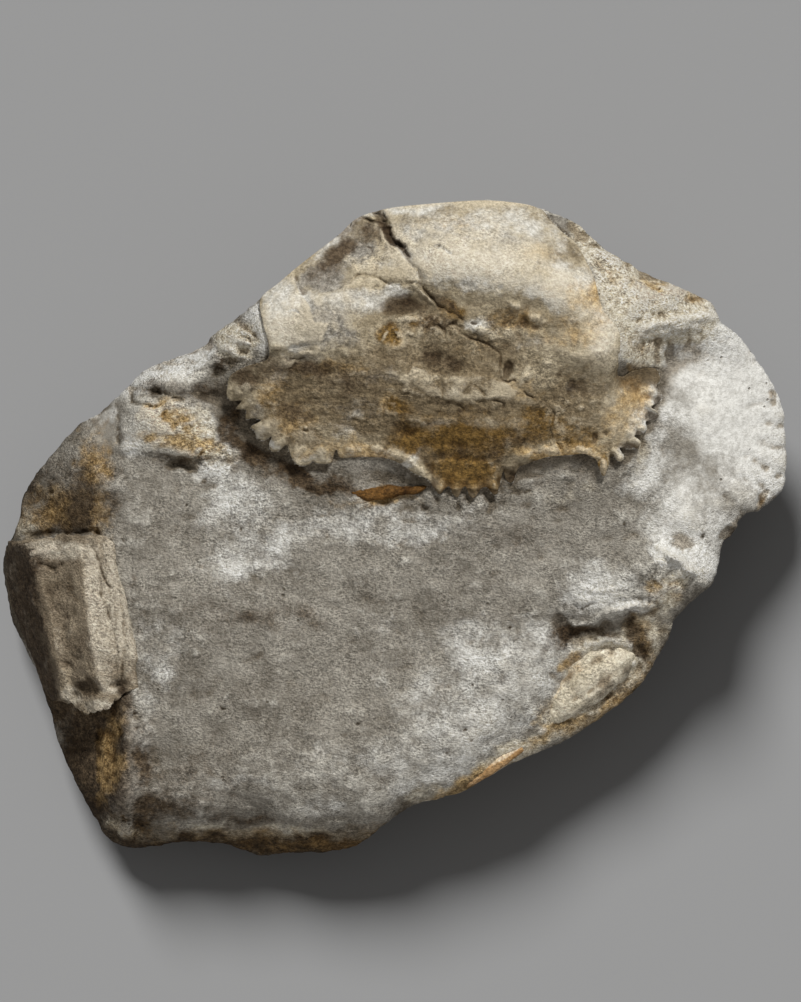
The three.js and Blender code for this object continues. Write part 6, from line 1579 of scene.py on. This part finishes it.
def round_rings(stations):
    """Oval rings of points along a line of stations, close together."""
    rows = np.array(stations, float)
    length = np.linalg.norm(np.diff(rows[:, :2], axis=0), axis=1).sum()
    rows = resample(rows, round(length / RING_SPACING))
    along = np.gradient(rows[:, :2], axis=0)
    along /= np.linalg.norm(along, axis=1)[:, None]
    angles = np.linspace(0, 2 * math.pi, RING_POINTS, endpoint=False)
    rings = []
    for (x, y, z, half_width, half_height), (ux, uy) in zip(rows, along):
        across = np.cos(angles) * half_width
        rings.append(np.stack([x + uy * across, y - ux * across, z + np.sin(angles) * half_height], 1))
    return rings


leg_stone = weathered(
    "leg_shell",
    dark=paint(170, 160, 138),
    light=paint(212, 204, 186),
    stains=[("ochre", paint(132, 104, 66), paint(186, 160, 124), 2), BROWN_STAIN],
    dirt_and_shade=paint(136, 116, 90),
    worn=paint(214, 206, 190),
    bump=0.16,
    roughness=0.82,
    pits=0.3,
)
leg_rings = round_rings(LEG_STATIONS)
leg_segment = limb("leg_segment", leg_rings, LEG_STAINS, leg_stone, LEG_MARKS, lumps=0.45, torn=0.6)
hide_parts("right_leg_segment")
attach(leg_segment, "root")


# --------------------------------------------------------------------------------------------------------
# The leg splinter, a thin orange-brown sliver of leg shell with a pale crest. It lies along the rim at the
# lower right, sunk in the chalk.
SPLINTER_STATIONS = [
    (21.4, -36.8, 17, 0.4, 0.4), (18.4, -38.2, 16.9, 1.1, 1), (15.1, -40.3, 16.4, 1.3, 1.1),
    (12.1, -42.2, 15.6, 1, 0.9), (9.8, -43.6, 14.8, 0.4, 0.4),
]
SPLINTER_STAINS = {"pale": [(18.5, -37.8, 3, 0.5, 32, 1)]}

splinter_stone = weathered(
    "splinter_shell",
    dark=paint(138, 104, 62),
    light=paint(184, 152, 112),
    stains=[("pale", paint(190, 170, 140), paint(220, 208, 188), 1.5), BROWN_STAIN],
    dirt_and_shade=paint(130, 100, 66),
    worn=paint(214, 200, 176),
    bump=0.12,
    roughness=0.78,
    pits=0.1,
)
splinter_rings = round_rings(SPLINTER_STATIONS)
leg_splinter = limb("leg_splinter", splinter_rings, SPLINTER_STAINS, splinter_stone, lumps=0.12)
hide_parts("leg_sliver")
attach(leg_splinter, "root")


# --------------------------------------------------------------------------------------------------------
# The lower rim of the left eye socket, a thin strip of dark rusty shell that broke away from the carapace.
# It lies in the chalk just in front of the socket.
ORBIT_STATIONS = [
    (-7.2, 6, 26.5, 0.3, 0.3), (-5.2, 5.7, 26.5, 0.9, 0.8), (-1, 6.2, 26.7, 1.1, 1),
    (3, 6.5, 26.9, 0.8, 0.8), (5, 7, 27, 0.3, 0.3),
]

orbit_stone = weathered(
    "orbit_shell",
    dark=paint(52, 34, 15),
    light=paint(112, 80, 40),
    stains=[BROWN_STAIN],
    dirt_and_shade=paint(120, 88, 54),
    worn=paint(140, 106, 64),
    bump=0.3,
    roughness=0.78,
    pits=0.1,
)
orbit_rings = round_rings(ORBIT_STATIONS)
orbit_lower_rim = limb("orbit_lower_rim", orbit_rings, {}, orbit_stone, lumps=0.4, torn=0.3)
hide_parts("orbit_rim")
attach(orbit_lower_rim, "root")


# --------------------------------------------------------------------------------------------------------
# The block's own lamps shine on the block and on every piece of the fossil in it, and not on the table.
for piece in bpy.context.scene.objects:
    if piece.type == "MESH" and piece != table_top:
        block_lamp.objects.link(piece)
        fill_lamp.objects.link(piece)
